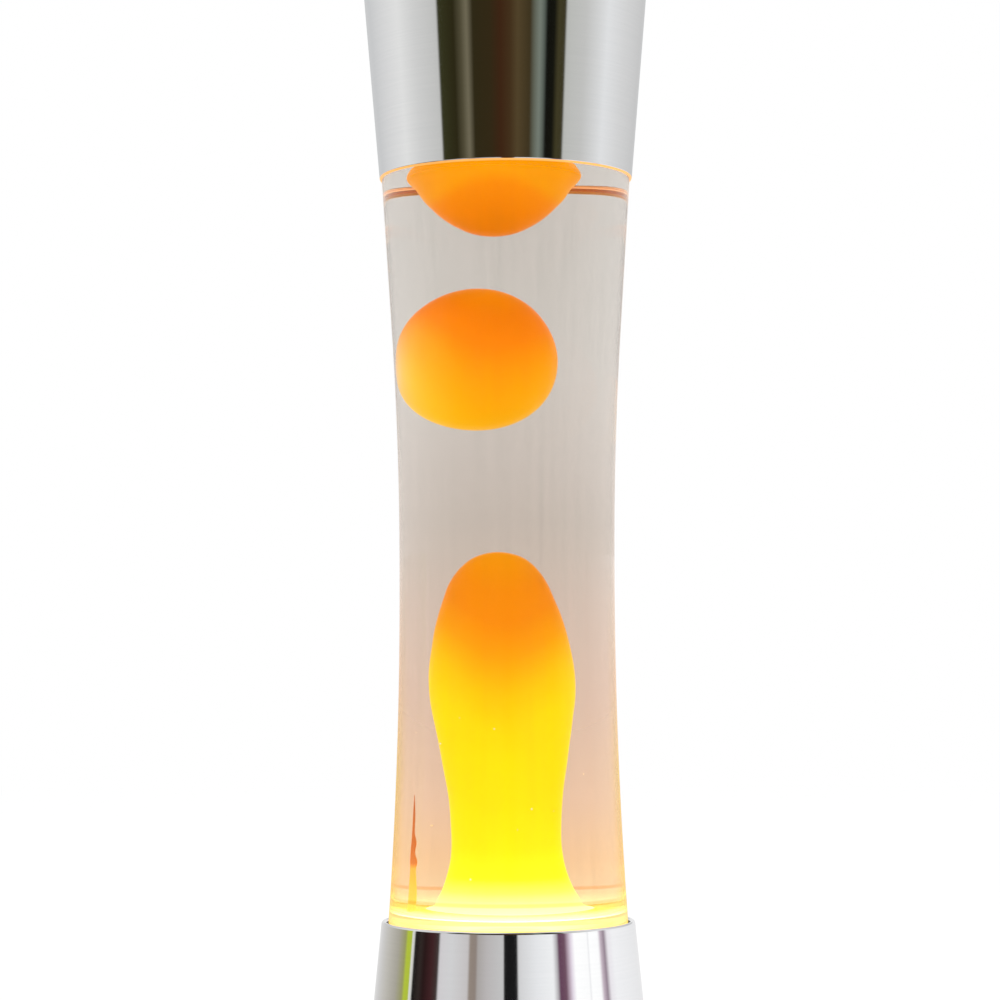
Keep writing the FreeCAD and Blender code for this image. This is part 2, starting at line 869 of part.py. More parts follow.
def make_envelope(doc):
    """The bulb's blown glass: a neck, a reflector's cone and a shallow dome."""
    inner_neck = "(envelope_neck_r - envelope_wall)"
    inner_wide = "(envelope_r - envelope_wall)"
    inner_edge = "(envelope_dome_edge_r - envelope_wall / 2)"
    inner_dome = "(envelope_dome_r - envelope_wall)"
    dome_centre = "(envelope_top_z - envelope_dome_r)"
    return turned(
        doc,
        "bulb_envelope",
        [
            (inner_neck, "envelope_low_z"),
            ("envelope_neck_r", "envelope_low_z"),
            ("envelope_neck_r", "envelope_cone_z"),
            ("envelope_r", "envelope_wide_z"),
            (
                "envelope_dome_edge_r",
                f"{dome_centre} + sqrt(envelope_dome_r^2 - envelope_dome_edge_r^2)",
                "envelope_shoulder_r",
                "left",
            ),
            ("0", "envelope_top_z", "envelope_dome_r", "left"),
            ("0", "envelope_top_z - envelope_wall"),
            (
                inner_edge,
                f"{dome_centre} + sqrt({inner_dome}^2 - {inner_edge}^2)",
                inner_dome,
                "right",
            ),
            (inner_wide, "envelope_wide_z", "envelope_shoulder_r - envelope_wall", "right"),
            (inner_neck, "envelope_cone_z"),
        ],
    )


def make_stem(doc):
    """The glass stem inside the bulb, with the flare that seals its neck."""
    flare_top = "(envelope_low_z + 1)"
    return turned(
        doc,
        "bulb_stem",
        [
            ("0", "envelope_low_z"),
            ("stem_flare_r", "envelope_low_z"),
            ("stem_flare_r", flare_top),
            ("stem_r", f"{flare_top} + 8", "14", "right"),
            ("stem_r", "stem_top_z"),
            ("0", "stem_top_z"),
        ],
    )


def make_leads(doc):
    """The two wires that carry the filament."""
    wires = []
    for number, side in enumerate((1, -1), start=1):
        low = Vector(side * value(doc, "lead_low_x"), 0, value(doc, "lead_low_z + stem_r"))
        high = Vector(side * value(doc, "filament_span"), 0, value(doc, "filament_z"))
        along = high.sub(low)
        wire = doc.addObject("Part::Cylinder", f"lead_wire_{number}")
        wire.setExpression("Radius", named("lead_r"))
        wire.Height = along.Length - 0.5
        wire.Placement = Placement(low, Rotation(Vector(0, 0, 1), along))
        wires.append(wire)
    return group(doc, "bulb_lead_wires", wires)


def make_filament(doc):
    """The filament's coil as the arch that it fills."""
    filament = doc.addObject("Part::Torus", "bulb_filament")
    filament.Label = "bulb_filament"
    filament.setExpression("Radius1", named("filament_span"))
    filament.setExpression("Radius2", named("filament_r"))
    filament.Angle3 = 180
    filament.Placement = Placement(Vector(0, 0, 0), Rotation(Vector(1, 0, 0), 90))
    place(filament, ("0", "0", "filament_z"))
    return filament


# ---------------------------------------------------------------- bottle


def bottle_side(inset):
    """The bottle's side from above its bottom corner to the neck, set in by a wall."""
    floor_corner = "heel_r" if inset == "0" else "floor_corner_r"
    corner_z = HEEL_Z if inset == "0" else f"(floor_z + {floor_corner})"
    reach = f"(lower_arc_r + {inset})"
    corner_x = (
        f"(waist_r + lower_arc_r - sqrt(({reach} + {floor_corner})^2"
        f" - (waist_low_z - {corner_z})^2))"
    )
    lift = f"(waist_low_z - {corner_z})"
    centre_x = "(waist_r + lower_arc_r)"
    part_way = f"({floor_corner} / ({reach} + {floor_corner}))"
    return [
        (
            f"{corner_x} + ({centre_x} - {corner_x}) * {part_way}",
            f"{corner_z} + {lift} * {part_way}",
            floor_corner,
            "left",
        ),
        (f"waist_r - {inset}", "waist_low_z", reach, "right"),
        (f"waist_r - {inset}", "waist_high_z"),
        (
            f"{CONE_START_R} - {inset} * {SHOULDER_COS}",
            f"cone_start_z + {inset} * {SHOULDER_LEAN}",
            f"upper_arc_r + {inset}",
            "right",
        ),
    ], corner_x


def neck_side(inset):
    """The shoulder and neck above the bottle's straight cone, set in by a wall."""
    bend = f"(shoulder_arc_r - {inset})"
    fillet = f"(neck_fillet + {inset})"
    return [
        (
            f"{SHOULDER_X} + {bend} * {SHOULDER_COS}",
            f"{SHOULDER_Z} - {bend} * {SHOULDER_LEAN}",
        ),
        (
            f"{SHOULDER_X} + {bend} * {TURN_COS}",
            f"{SHOULDER_Z} + {bend} * {TURN_SIN}",
            bend,
            "left",
        ),
        (
            f"{NECK_FILLET_X} - {fillet} * {TURN_COS}",
            f"{NECK_FILLET_Z} - {fillet} * {TURN_SIN}",
        ),
        (f"{NECK_FILLET_X} - {fillet}", NECK_FILLET_Z, fillet, "right"),
    ]


def make_bottle(doc):
    """The blown bottle, one wall thick, with a raised bottom and a ring for its closure."""
    outside, heel_x = bottle_side("0")
    inside, corner_x = bottle_side("glass_wall")
    path = [
        ("0", "bottle_z + punt_rise"),
        (
            "punt_r",
            "bottle_z",
            "(punt_r^2 + punt_rise^2) / (2 * punt_rise)",
            "right",
        ),
        (heel_x, "bottle_z"),
        *outside,
        *neck_side("0"),
        ("neck_r", "finish_z - 1.3"),
        ("finish_r", "finish_z"),
        ("finish_r", "bottle_top_z"),
        ("neck_r - glass_wall", "bottle_top_z"),
    ]
    path += up_to_down(inside + neck_side("glass_wall"))
    path += [(corner_x, "floor_z", "floor_corner_r", "right"), ("0", "floor_z")]
    return turned(doc, "glass_bottle", path)


def up_to_down(path):
    """The corners of an upward path as they come on the way down, without the last arc."""
    other_side = {"left": "right", "right": "left"}
    down = [path[-1][:2]]
    for corner, after in zip(reversed(path[:-1]), reversed(path[1:])):
        if len(after) == 2:
            down.append(corner[:2])
        else:
            down.append((corner[0], corner[1], after[2], other_side[after[3]]))
    return down


def make_closure(doc):
    """The crown cap over the bottle's mouth, and the liner that seals it."""
    mouth_top = "(bottle_top_z + liner_thick + 2 * fit_gap)"
    inner = "(finish_r + crown_clearance)"
    skirt_z = f"({mouth_top} + crown_wall - crown_skirt)"
    bend_z = f"({skirt_z} + crown_bend)"
    crown = turned(
        doc,
        "crown_cap",
        [
            ("0", mouth_top),
            (inner, mouth_top),
            (inner, bend_z),
            (f"{inner} + crown_flare", skirt_z),
            (f"{inner} + crown_flare + crown_wall", skirt_z),
            (f"{inner} + crown_wall", bend_z),
            (f"{inner} + crown_wall", f"{mouth_top} + crown_wall - crown_edge_r"),
            (
                f"{inner} + crown_wall - crown_edge_r",
                f"{mouth_top} + crown_wall",
                "crown_edge_r",
                "left",
            ),
            ("0", f"{mouth_top} + crown_wall"),
        ],
    )
    liner = turned(
        doc,
        "crown_liner",
        [
            ("0", "bottle_top_z + fit_gap"),
            ("finish_r - 0.4", "bottle_top_z + fit_gap"),
            ("finish_r - 0.4", "bottle_top_z + fit_gap + liner_thick"),
            ("0", "bottle_top_z + fit_gap + liner_thick"),
        ],
    )
    return crown, liner


# ---------------------------------------------------------------- liquid and wax


def make_column(doc):
    """The wax that stands on the bottle's floor and rises to a rounded head."""
    foot_z = "(floor_z + 2 * liquid_gap)"
    tip_z = "(column_top_z - column_tip_r)"
    foot_arc = (
        f"(((column_foot_r - column_waist_r)^2 + (column_waist_z - {foot_z})^2)"
        " / (2 * (column_foot_r - column_waist_r)))"
    )
    swell = "(column_belly_r - column_waist_r)"
    rise = "(column_belly_z - column_waist_z)"
    swell_arc = f"((({swell} / 2)^2 + ({rise} / 2)^2) / {swell})"
    head_rise = f"({tip_z} - column_belly_z)"
    head_arc = (
        f"((column_belly_r^2 + {head_rise}^2 - column_tip_r^2)"
        " / (2 * (column_belly_r - column_tip_r)))"
    )
    head_sine = f"({head_rise} / ({head_arc} - column_tip_r))"
    body = turned(
        doc,
        "wax_column",
        [
            ("0", foot_z),
            ("column_foot_r", foot_z),
            ("column_waist_r", "column_waist_z", foot_arc, "right"),
            (
                f"column_waist_r + {swell} / 2",
                f"column_waist_z + {rise} / 2",
                swell_arc,
                "right",
            ),
            ("column_belly_r", "column_belly_z", swell_arc, "left"),
            (
                f"column_tip_r * sqrt(1 - {head_sine}^2)",
                f"{tip_z} + column_tip_r * {head_sine}",
                head_arc,
                "left",
            ),
            ("0", "column_top_z", "column_tip_r", "left"),
        ],
    )
    place(body, ("column_shift", "0", "0"))
    return body


def make_blob(doc, label, grow):
    """The floating ball of wax, slightly taller than it is wide."""
    blob = doc.addObject("Part::Ellipsoid", label)
    blob.Label = label
    blob.setExpression("Radius1", named(f"blob_half_height + {grow}"))
    blob.setExpression("Radius2", named(f"blob_r + {grow}"))
    blob.setExpression("Radius3", named(f"blob_r + {grow}"))
    place(blob, ("blob_x", "blob_y", "blob_z"))
    return blob


def make_dome(doc, label, grow):
    """The wax that hangs from the liquid's surface: a cone that ends in a round tip."""
    tip_r = f"(dome_tip_r + {grow})"
    knee_r = f"({tip_r} * cos(dome_lean))"
    knee_z = f"(dome_low_z + dome_tip_r - {tip_r} * sin(dome_lean))"
    top_z = f"(liquid_z + {grow})"
    body = turned(
        doc,
        label,
        [
            ("0", f"dome_low_z - {grow}"),
            (knee_r, knee_z, tip_r, "left"),
            (f"{knee_r} + ({top_z} - {knee_z}) * tan(dome_lean)", top_z),
            ("0", top_z),
        ],
    )
    place(body, ("dome_x", "0", "0"))
    return body


def make_liquid(doc, column):
    """The liquid, filled to just above the cap's rim, with the wax's room taken out of it."""
    inset = "(glass_wall + liquid_gap)"
    inside, corner_x = bottle_side(inset)
    low_z = "(floor_z + liquid_gap)"
    cone_r = (
        f"({CONE_START_R} - {inset} * {SHOULDER_COS}"
        f" + (liquid_z - cone_start_z - {inset} * {SHOULDER_LEAN})"
        f" * {SHOULDER_LEAN} / {SHOULDER_COS})"
    )
    corner_r = "(floor_corner_r - liquid_gap)"
    first = inside[0]
    fill = turned(
        doc,
        "liquid_fill",
        [
            ("0", low_z),
            (corner_x, low_z),
            (first[0], first[1], corner_r, "left"),
            *inside[1:],
            (cone_r, "liquid_z"),
            ("0", "liquid_z"),
        ],
    )
    rooms = fused(
        doc,
        "wax_rooms",
        [make_blob(doc, "blob_room", "wax_gap"), make_dome(doc, "dome_room", "wax_gap"), column],
    )
    liquid = cut(doc, "lamp_liquid", fill, rooms)
    liquid.Label = "lamp_liquid"
    return liquid


def make_coil(doc):
    """The wire coil on the bottle's floor, inside the wax's foot, that spreads the heat."""
    radius = value(doc, "coil_r")
    steps = COIL_STEPS * round(value(doc, "coil_turns"))
    spots = []
    for step in range(steps + 1):
        turns = step / COIL_STEPS
        angle = 2 * math.pi * turns
        height = value(doc, "coil_pitch") * turns
        spots.append(Vector(radius * math.cos(angle), radius * math.sin(angle), height))
    line = Part.BSplineCurve()
    line.interpolate(spots)
    along = line.tangent(line.FirstParameter)[0]
    section = Part.Circle(spots[0], along, value(doc, "coil_wire_r")).toShape()
    coil = doc.addObject("Part::Feature", "wire_coil")
    coil.Label = "wire_coil"
    coil.Shape = Part.Wire([line.toShape()]).makePipeShell([Part.Wire([section])], True, True)
    place(coil, ("column_shift", "0", "coil_z"))
    return coil


# ---------------------------------------------------------------- top cap


def make_top_cap(doc):
    """The spun cap: a cone that widens upwards to a flat top with a rounded corner."""
    inner_bend = "(cap_corner_r - cap_wall)"
    half = "(cap_wall / 2)"
    return turned(
        doc,
        "top_cap",
        [
            (CAP_INNER_R, f"cap_low_z + {half}"),
            (f"{CAP_INNER_R} + {half}", "cap_low_z", half, "left"),
            (f"cap_rim_r + cap_slope * {half}", f"cap_low_z + {half}", half, "left"),
            (
                f"{CAP_CORNER_X} + cap_corner_r / {CAP_LEAN}",
                f"{CAP_CORNER_Z} - cap_corner_r * cap_slope / {CAP_LEAN}",
            ),
            (CAP_CORNER_X, "cap_top_z", "cap_corner_r", "left"),
            ("0", "cap_top_z"),
            ("0", "cap_top_z - cap_wall"),
            (CAP_CORNER_X, "cap_top_z - cap_wall"),
            (
                f"{CAP_CORNER_X} + {inner_bend} / {CAP_LEAN}",
                f"{CAP_CORNER_Z} - {inner_bend} * cap_slope / {CAP_LEAN}",
                inner_bend,
                "right",
            ),
        ],
    )


def make_collar(doc):
    """The ring inside the cap that rests on the bottle's shoulder."""
    reach = "(shoulder_arc_r + collar_gap)"

    def shoulder_r(height):
        return f"({SHOULDER_X} + sqrt({reach}^2 - ({height} - {SHOULDER_Z})^2))"

    def cap_inside(height):
        return f"({CAP_INNER_R} + cap_slope * ({height} - cap_low_z) - glue_gap)"

    rest_z = "(collar_step_z - 1)"
    return turned(
        doc,
        "cap_collar",
        [
            (shoulder_r("collar_low_z"), "collar_low_z", reach, "right"),
            (cap_inside("collar_low_z"), "collar_low_z"),
            (cap_inside("collar_top_z"), "collar_top_z"),
            (f"{cap_inside('collar_top_z')} - collar_wall", "collar_top_z"),
            (f"{cap_inside('collar_top_z')} - collar_wall", "collar_step_z"),
            (shoulder_r(rest_z), "collar_step_z"),
            (shoulder_r(rest_z), rest_z),
        ],
    )


# ---------------------------------------------------------------- the whole lamp


def build(doc):
    """Every sub-part of the lamp."""
    column = make_column(doc)
    parts = [
        make_housing(doc),
        make_seat(doc),
        make_bottom_plate(doc),
        make_bracket(doc),
        make_nipple(doc),
        make_locknut(doc),
        make_lampholder(doc),
        make_screw_shell(doc),
        make_centre_contact(doc),
        make_terminal_screws(doc),
        make_grommet(doc),
        make_bulb_cap(doc),
        make_bulb_insulator(doc),
        make_tip_contact(doc),
        make_envelope(doc),
        make_stem(doc),
        make_leads(doc),
        make_filament(doc),
        make_bottle(doc),
        make_liquid(doc, column),
        column,
        make_blob(doc, "wax_blob_middle", "0"),
        make_dome(doc, "wax_blob_top", "0"),
        make_coil(doc),
        make_top_cap(doc),
        make_collar(doc),
    ]
    parts += make_closure(doc)
    parts += make_plate_fasteners(doc)
    parts += make_bracket_fasteners(doc)
    parts += [make_foot(doc, number, angle) for number, angle in enumerate(FEET_ANGLES, 1)]
    return parts


def check(doc, parts):
    """Stops where an object failed or a sub-part has no sound solid."""
    for thing in doc.Objects:
        if "Invalid" in thing.State or "Error" in thing.State:
            raise RuntimeError(f"{thing.Label} did not compute")
    for part in parts:
        shape = part.Shape
        if shape.isNull() or not shape.isValid() or not shape.Solids:
            raise RuntimeError(f"{part.Label} has no valid solid")
        print(f"{part.Label:24s} {len(shape.Solids)} solid(s) {shape.Volume:12.1f} mm3")


def main():
    doc = FreeCAD.newDocument("lava_lamp")
    make_sheet(doc)
    parts = build(doc)
    doc.recompute()
    check(doc, parts)
    os.makedirs("parts", exist_ok=True)
    for part in parts:
        part.Shape.exportStep(os.path.join("parts", f"{part.Label}.step"))


main()
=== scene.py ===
"""The looks of a lava lamp: a spun aluminium base and cap, and a glass bottle of liquid and wax.

Lengths named here are in millimetres, and each mesh is scaled to metres as it is made.
Every piece is placed by the CAD frame: its axis is the Z axis, and Z is up from the table.
"""

import math

import bmesh
import bpy
from mathutils import Matrix, Vector, noise


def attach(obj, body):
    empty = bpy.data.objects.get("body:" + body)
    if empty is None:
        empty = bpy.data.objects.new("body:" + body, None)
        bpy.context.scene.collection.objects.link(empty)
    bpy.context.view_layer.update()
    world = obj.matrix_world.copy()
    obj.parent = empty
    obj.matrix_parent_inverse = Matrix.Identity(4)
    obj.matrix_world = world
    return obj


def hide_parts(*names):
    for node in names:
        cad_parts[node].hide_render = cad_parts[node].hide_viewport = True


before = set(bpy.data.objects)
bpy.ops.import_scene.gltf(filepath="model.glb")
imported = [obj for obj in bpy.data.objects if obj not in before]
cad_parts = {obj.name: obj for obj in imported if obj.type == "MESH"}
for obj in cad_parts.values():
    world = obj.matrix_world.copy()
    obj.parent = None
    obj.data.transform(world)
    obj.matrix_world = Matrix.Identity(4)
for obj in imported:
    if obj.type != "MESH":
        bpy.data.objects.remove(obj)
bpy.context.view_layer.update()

MM = 0.001
TURNS = 192
SHARP_ANGLE = 38
SCENE = bpy.context.scene
# the liquid's surface, and how far it creeps up the glass
LIQUID_Z = 329.2
MENISCUS = 2.0


# --- meshes ---------------------------------------------------------------------------


def arc(centre, radius, start, end, steps=8):
    """Points round centre, from one angle to another in degrees."""
    points = []
    for step in range(steps + 1):
        angle = math.radians(start + (end - start) * step / steps)
        points.append((centre[0] + radius * math.cos(angle), centre[1] + radius * math.sin(angle)))
    return points


def run(start, end, steps):
    """Evenly spaced points on a straight line, both ends included."""
    return [
        tuple(a + (b - a) * step / steps for a, b in zip(start, end))
        for step in range(steps + 1)
    ]


def ring_mesh(rings, closed):
    """A mesh through rings of points; a ring of one point is a pole."""
    bm = bmesh.new()
    rows = [[bm.verts.new(Vector(p) * MM) for p in ring] for ring in rings]
    pairs = list(zip(rows, rows[1:]))
    if closed:
        pairs.append((rows[-1], rows[0]))
    for low, high in pairs:
        count = max(len(low), len(high))
        for i in range(count):
            j = (i + 1) % count
            corners = [low[i % len(low)], low[j % len(low)], high[j % len(high)], high[i % len(high)]]
            face = list(dict.fromkeys(corners))
            if len(face) > 2:
                bm.faces.new(face)
    return bm


def lathe(profile, closed=True, turns=TURNS, flute=None):
    """A turned mesh from (radius, height) points; flute changes the radius round the turn."""
    rings = []
    for radius, height in profile:
        if radius < 1e-6:
            rings.append([(0, 0, height)])
            continue
        ring = []
        for i in range(turns):
            angle = 2 * math.pi * i / turns
            r = flute(radius, height, angle) if flute else radius
            ring.append((r * math.cos(angle), r * math.sin(angle), height))
        rings.append(ring)
    return ring_mesh(rings, closed)


def piece(name, bm, body, material, replaces=(), sharp=SHARP_ANGLE):
    """The mesh as a smooth-shaded object that rides on a CAD body."""
    bmesh.ops.recalc_face_normals(bm, faces=bm.faces)
    mesh = bpy.data.meshes.new(name)
    bm.to_mesh(mesh)
    bm.free()
    mesh.shade_smooth()
    mesh.set_sharp_from_angle(angle=math.radians(sharp))
    mesh.materials.append(material)
    obj = bpy.data.objects.new(name, mesh)
    SCENE.collection.objects.link(obj)
    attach(obj, body)
    if replaces:
        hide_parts(*replaces)
    return obj


def moved(bm, offset=(0, 0, 0), matrix=None):
    """The mesh turned by a matrix and moved by an offset in millimetres."""
    if matrix is not None:
        bmesh.ops.transform(bm, matrix=matrix, verts=bm.verts)
    bmesh.ops.translate(bm, vec=Vector(offset) * MM, verts=bm.verts)
    return bm


def joined(parts):
    """Several meshes as one."""
    whole = bmesh.new()
    for part in parts:
        mesh = bpy.data.meshes.new("part")
        part.to_mesh(mesh)
        part.free()
        whole.from_mesh(mesh)
        bpy.data.meshes.remove(mesh)
    return whole


def drilled(obj, cutter):
    """Cuts the closed mesh cutter out of obj for good."""
    mesh = bpy.data.meshes.new("cutter")
    bmesh.ops.recalc_face_normals(cutter, faces=cutter.faces)
    cutter.to_mesh(mesh)
    cutter.free()
    tool = bpy.data.objects.new("cutter", mesh)
    SCENE.collection.objects.link(tool)
    cut = obj.modifiers.new("cut", "BOOLEAN")
    cut.operation = "DIFFERENCE"
    cut.solver = "EXACT"
    cut.object = tool
    bpy.context.view_layer.update()
    result = bpy.data.meshes.new_from_object(obj.evaluated_get(bpy.context.evaluated_depsgraph_get()))
    obj.modifiers.remove(cut)
    obj.data = result
    bpy.data.objects.remove(tool)
    bpy.data.meshes.remove(mesh)


# --- materials ------------------------------------------------------------------------


def linear(red, green, blue):
    """A colour given in display values from 0 to 255, as the shader's linear one."""
    out = []
    for value in (red, green, blue):
        v = value / 255
        out.append(v / 12.92 if v <= 0.04045 else ((v + 0.055) / 1.055) ** 2.4)
    return (*out, 1.0)


def node(tree, kind, inputs=None, **settings):
    """A shader node with its settings made and its inputs set or linked."""
    made = tree.nodes.new("ShaderNode" + kind)
    for key, value in settings.items():
        setattr(made, key, value)
    for key, value in (inputs or {}).items():
        if isinstance(value, bpy.types.NodeSocket):
            tree.links.new(value, made.inputs[key])
        else:
            made.inputs[key].default_value = value
    return made


def new_material(name):
    """An empty material and its tree, with an output and the piece's own coordinates."""
    material = bpy.data.materials.new(name)
    material.use_nodes = True
    tree = material.node_tree
    tree.nodes.clear()
    output = node(tree, "OutputMaterial")
    place = node(tree, "TexCoord").outputs["Object"]
    return material, tree, output, place


def grain(tree, place, stretch, scale, detail=3.0, rough=0.5):
    """Noise over the piece, from 0 to 1, stretched per axis."""
    spread = node(tree, "Mapping", {"Vector": place, "Scale": stretch})
    return node(
        tree,
        "TexNoise",
        {"Vector": spread.outputs["Vector"], "Scale": scale, "Detail": detail, "Roughness": rough},
    ).outputs["Fac"]


def ranged(tree, value, low, high, out_low, out_high):
    """A value moved from one range to another, and held inside it."""
    return node(
        tree,
        "MapRange",
        {"Value": value, "From Min": low, "From Max": high, "To Min": out_low, "To Max": out_high},
    ).outputs["Result"]


def ramp(tree, value, stops):
    """A colour ramp from (position, colour) stops."""
    made = node(tree, "ValToRGB", {"Fac": value})
    band = made.color_ramp
    while len(band.elements) < len(stops):
        band.elements.new(0.5)
    for element, (position, _) in zip(band.elements, stops):
        element.position = position
    for element, (_, colour) in zip(band.elements, stops):
        element.color = colour
    return made.outputs["Color"]


def height_ramp(tree, place, stops):
    """A colour by height in millimetres, from (height, colour) stops in rising order."""
    low, high = stops[0][0], stops[-1][0]
    z = node(tree, "SeparateXYZ", {"Vector": place}).outputs["Z"]
    share = ranged(tree, z, low * MM, high * MM, 0.0, 1.0)
    return ramp(tree, share, [((h - low) / (high - low), c) for h, c in stops])


def bump(tree, height, strength, distance, normal=None):
    """A bumped normal."""
    inputs = {"Height": height, "Strength": strength, "Distance": distance}
    if normal is not None:
        inputs["Normal"] = normal
    return node(tree, "Bump", inputs).outputs["Normal"]


def surface(name, dark, light, stretch, scale, rough, bumps, extra=None):
    """An opaque finish: two colours and a roughness range mixed by one grain, and its bump."""
    material, tree, output, place = new_material(name)
    field = grain(tree, place, stretch, scale)
    fine = grain(tree, place, stretch, scale * 3.7, detail=2.0)
    colour = ramp(tree, field, [(0.3, dark), (0.7, light)])
    inputs = {
        "Base Color": colour,
        "Roughness": ranged(tree, fine, 0.3, 0.7, rough[0], rough[1]),
        "Normal": bump(tree, fine, bumps[0], bumps[1]),
    }
    inputs.update(extra or {})
    shader = node(tree, "BsdfPrincipled", inputs)
    tree.links.new(shader.outputs["BSDF"], output.inputs["Surface"])
    return material


METAL = {"Metallic": 1.0}
# how a finish's grain is squeezed along each axis: the same all round, or in rings
EVEN = (1, 1, 1)
SPIN = (3, 3, 260)

polished = surface(
    "polished_aluminium",
    (0.885, 0.89, 0.895, 1),
    (0.91, 0.912, 0.915, 1),
    SPIN,
    9,
    (0.05, 0.075),
    (0.012, 0.00002),
    METAL,
)
brushed = surface(
    "brushed_aluminium",
    (0.62, 0.62, 0.63, 1), (0.78, 0.78, 0.79, 1), SPIN, 9, (0.2, 0.34), (0.2, 0.00005), METAL,
)
plate_steel = surface(
    "plate_steel",
    (0.40, 0.41, 0.42, 1), (0.56, 0.57, 0.58, 1), EVEN, 260, (0.3, 0.45), (0.12, 0.00005), METAL,
)
bracket_steel = surface(
    "zinc_plated_steel",
    (0.46, 0.46, 0.42, 1), (0.63, 0.62, 0.56, 1), EVEN, 300, (0.28, 0.42), (0.1, 0.00005), METAL,
)
fastener_steel = surface(
    "fastener_steel",
    (0.42, 0.42, 0.42, 1), (0.66, 0.66, 0.66, 1), EVEN, 900, (0.2, 0.36), (0.15, 0.00003), METAL,
)
brass = surface(
    "brass",
    (0.58, 0.40, 0.14, 1), (0.76, 0.56, 0.24, 1), EVEN, 500, (0.2, 0.4), (0.1, 0.00003), METAL,
)
phenolic = surface(
    "phenolic",
    (0.012, 0.010, 0.009, 1), (0.03, 0.024, 0.02, 1), EVEN, 700, (0.3, 0.5), (0.2, 0.00005),
)
foot_rubber = surface(
    "foot_rubber",
    (0.012, 0.012, 0.013, 1), (0.035, 0.035, 0.036, 1), EVEN, 1400, (0.55, 0.8), (0.4, 0.0001),
)
grommet_rubber = surface(
    "grommet_rubber",
    (0.015, 0.015, 0.016, 1), (0.035, 0.035, 0.036, 1), EVEN, 1200, (0.45, 0.65), (0.3, 0.00008),
)
nickel = surface(
    "nickel_cap",
    (0.55, 0.53, 0.48, 1), (0.72, 0.7, 0.64, 1), EVEN, 700, (0.18, 0.34), (0.12, 0.00003), METAL,
)
black_glass = surface(
    "black_glass",
    (0.006, 0.006, 0.008, 1), (0.02, 0.02, 0.024, 1), EVEN, 600, (0.08, 0.16), (0.05, 0.00003),
)
solder = surface(
    "solder",
    (0.42, 0.42, 0.44, 1), (0.62, 0.62, 0.64, 1), EVEN, 1500, (0.3, 0.5), (0.4, 0.0001), METAL,
)
filament = surface(
    "filament_metal",
    (0.3, 0.3, 0.3, 1),
    (0.5, 0.5, 0.5, 1),
    EVEN,
    3000,
    (0.3, 0.5),
    (0.2, 0.00002),
    {"Metallic": 1.0, "Emission Color": (1.0, 0.72, 0.4, 1), "Emission Strength": 4.0},
)
coil_steel = surface(
    "coil_steel",
    (0.4, 0.4, 0.4, 1), (0.6, 0.6, 0.6, 1), EVEN, 900, (0.2, 0.35), (0.1, 0.00003), METAL,
)
tinplate = surface(
    "crown_tinplate",
    (0.66, 0.64, 0.58, 1), (0.8, 0.78, 0.72, 1), EVEN, 500, (0.16, 0.3), (0.1, 0.00004), METAL,
)
liner = surface(
    "liner_plastic",
    (0.55, 0.55, 0.53, 1), (0.68, 0.68, 0.66, 1), EVEN, 800, (0.4, 0.6), (0.1, 0.00005),
)
collar = surface(
    "collar_plastic",
    (0.62, 0.61, 0.58, 1), (0.74, 0.73, 0.7, 1), EVEN, 500, (0.35, 0.5), (0.12, 0.00005),
)


# strength of the glow painted into the wax by emission, standing in for the bulb's light
GLOW = 1.11
BOW_LOW = 118.0
BOW_HIGH = 165.0


def bowed_height(tree, place, middle_x, bow):
    """Height less a bow to both sides of the front, so the glow painted into the wax reaches higher at its
    sides, where wax takes more light from below.
    """
    axes = node(tree, "SeparateXYZ", {"Vector": place})
    across = node(tree, "Math", {0: axes.outputs["X"], 1: middle_x * MM}, operation="SUBTRACT")
    squared = node(tree, "Math", {0: across.outputs[0], 1: across.outputs[0]}, operation="MULTIPLY")
    grown = ranged(tree, axes.outputs["Z"], BOW_LOW * MM, BOW_HIGH * MM, 0.0, bow / MM)
    drop = node(tree, "Math", {0: squared.outputs[0], 1: grown}, operation="MULTIPLY")
    lowered = node(tree, "Math", {0: axes.outputs["Z"], 1: drop.outputs[0]}, operation="SUBTRACT")
    return lowered.outputs[0]


def wax(name, stops, seed, middle_x=0.0, bow=0.0):
    """Translucent wax: its own colour under a glow painted in by emission, which changes with height and
    stands in for the bulb's light from below, and a little mottling.
    """
    material, tree, output, place = new_material(name)
    shifted = node(tree, "Mapping", {"Vector": place, "Location": (seed, 0, 0)}).outputs["Vector"]
    cloud = grain(tree, shifted, EVEN, 70, detail=4.0)
    fine = grain(tree, shifted, EVEN, 900, detail=2.0)
    low, high = stops[0][0], stops[-1][0]
    share = ranged(tree, bowed_height(tree, place, middle_x, bow), low * MM, high * MM, 0.0, 1.0)
    colour = ramp(tree, share, [((h - low) / (high - low), c) for h, c in stops])
    mottle = ranged(tree, cloud, 0.3, 0.7, 0.97, 1.03)
    painted_glow = node(
        tree,
        "Mix",
        {"Factor": 1.0, "A": colour, "B": mottle},
        data_type="RGBA",
        blend_type="MULTIPLY",
    )
    # base colour: the painted glow's colour darkened, so it too is lighter where the glow is painted
    # brighter
    body = node(
        tree,
        "Mix",
        {"Factor": 1.0, "A": colour, "B": (0.2, 0.2, 0.2, 1)},
        data_type="RGBA",
        blend_type="MULTIPLY",
    )
    shader = node(
        tree,
        "BsdfPrincipled",
        {
            "Base Color": body.outputs["Result"],
            "Emission Color": painted_glow.outputs["Result"],
            "Emission Strength": GLOW,
            "Roughness": ranged(tree, fine, 0.3, 0.7, 0.3, 0.42),
            "IOR": 1.44,
            "Specular IOR Level": 0.05,
            "Normal": bump(tree, cloud, 0.15, 0.0005, bump(tree, fine, 0.1, 0.00005)),
        },
    )
    tree.links.new(shader.outputs["BSDF"], output.inputs["Surface"])
    return material
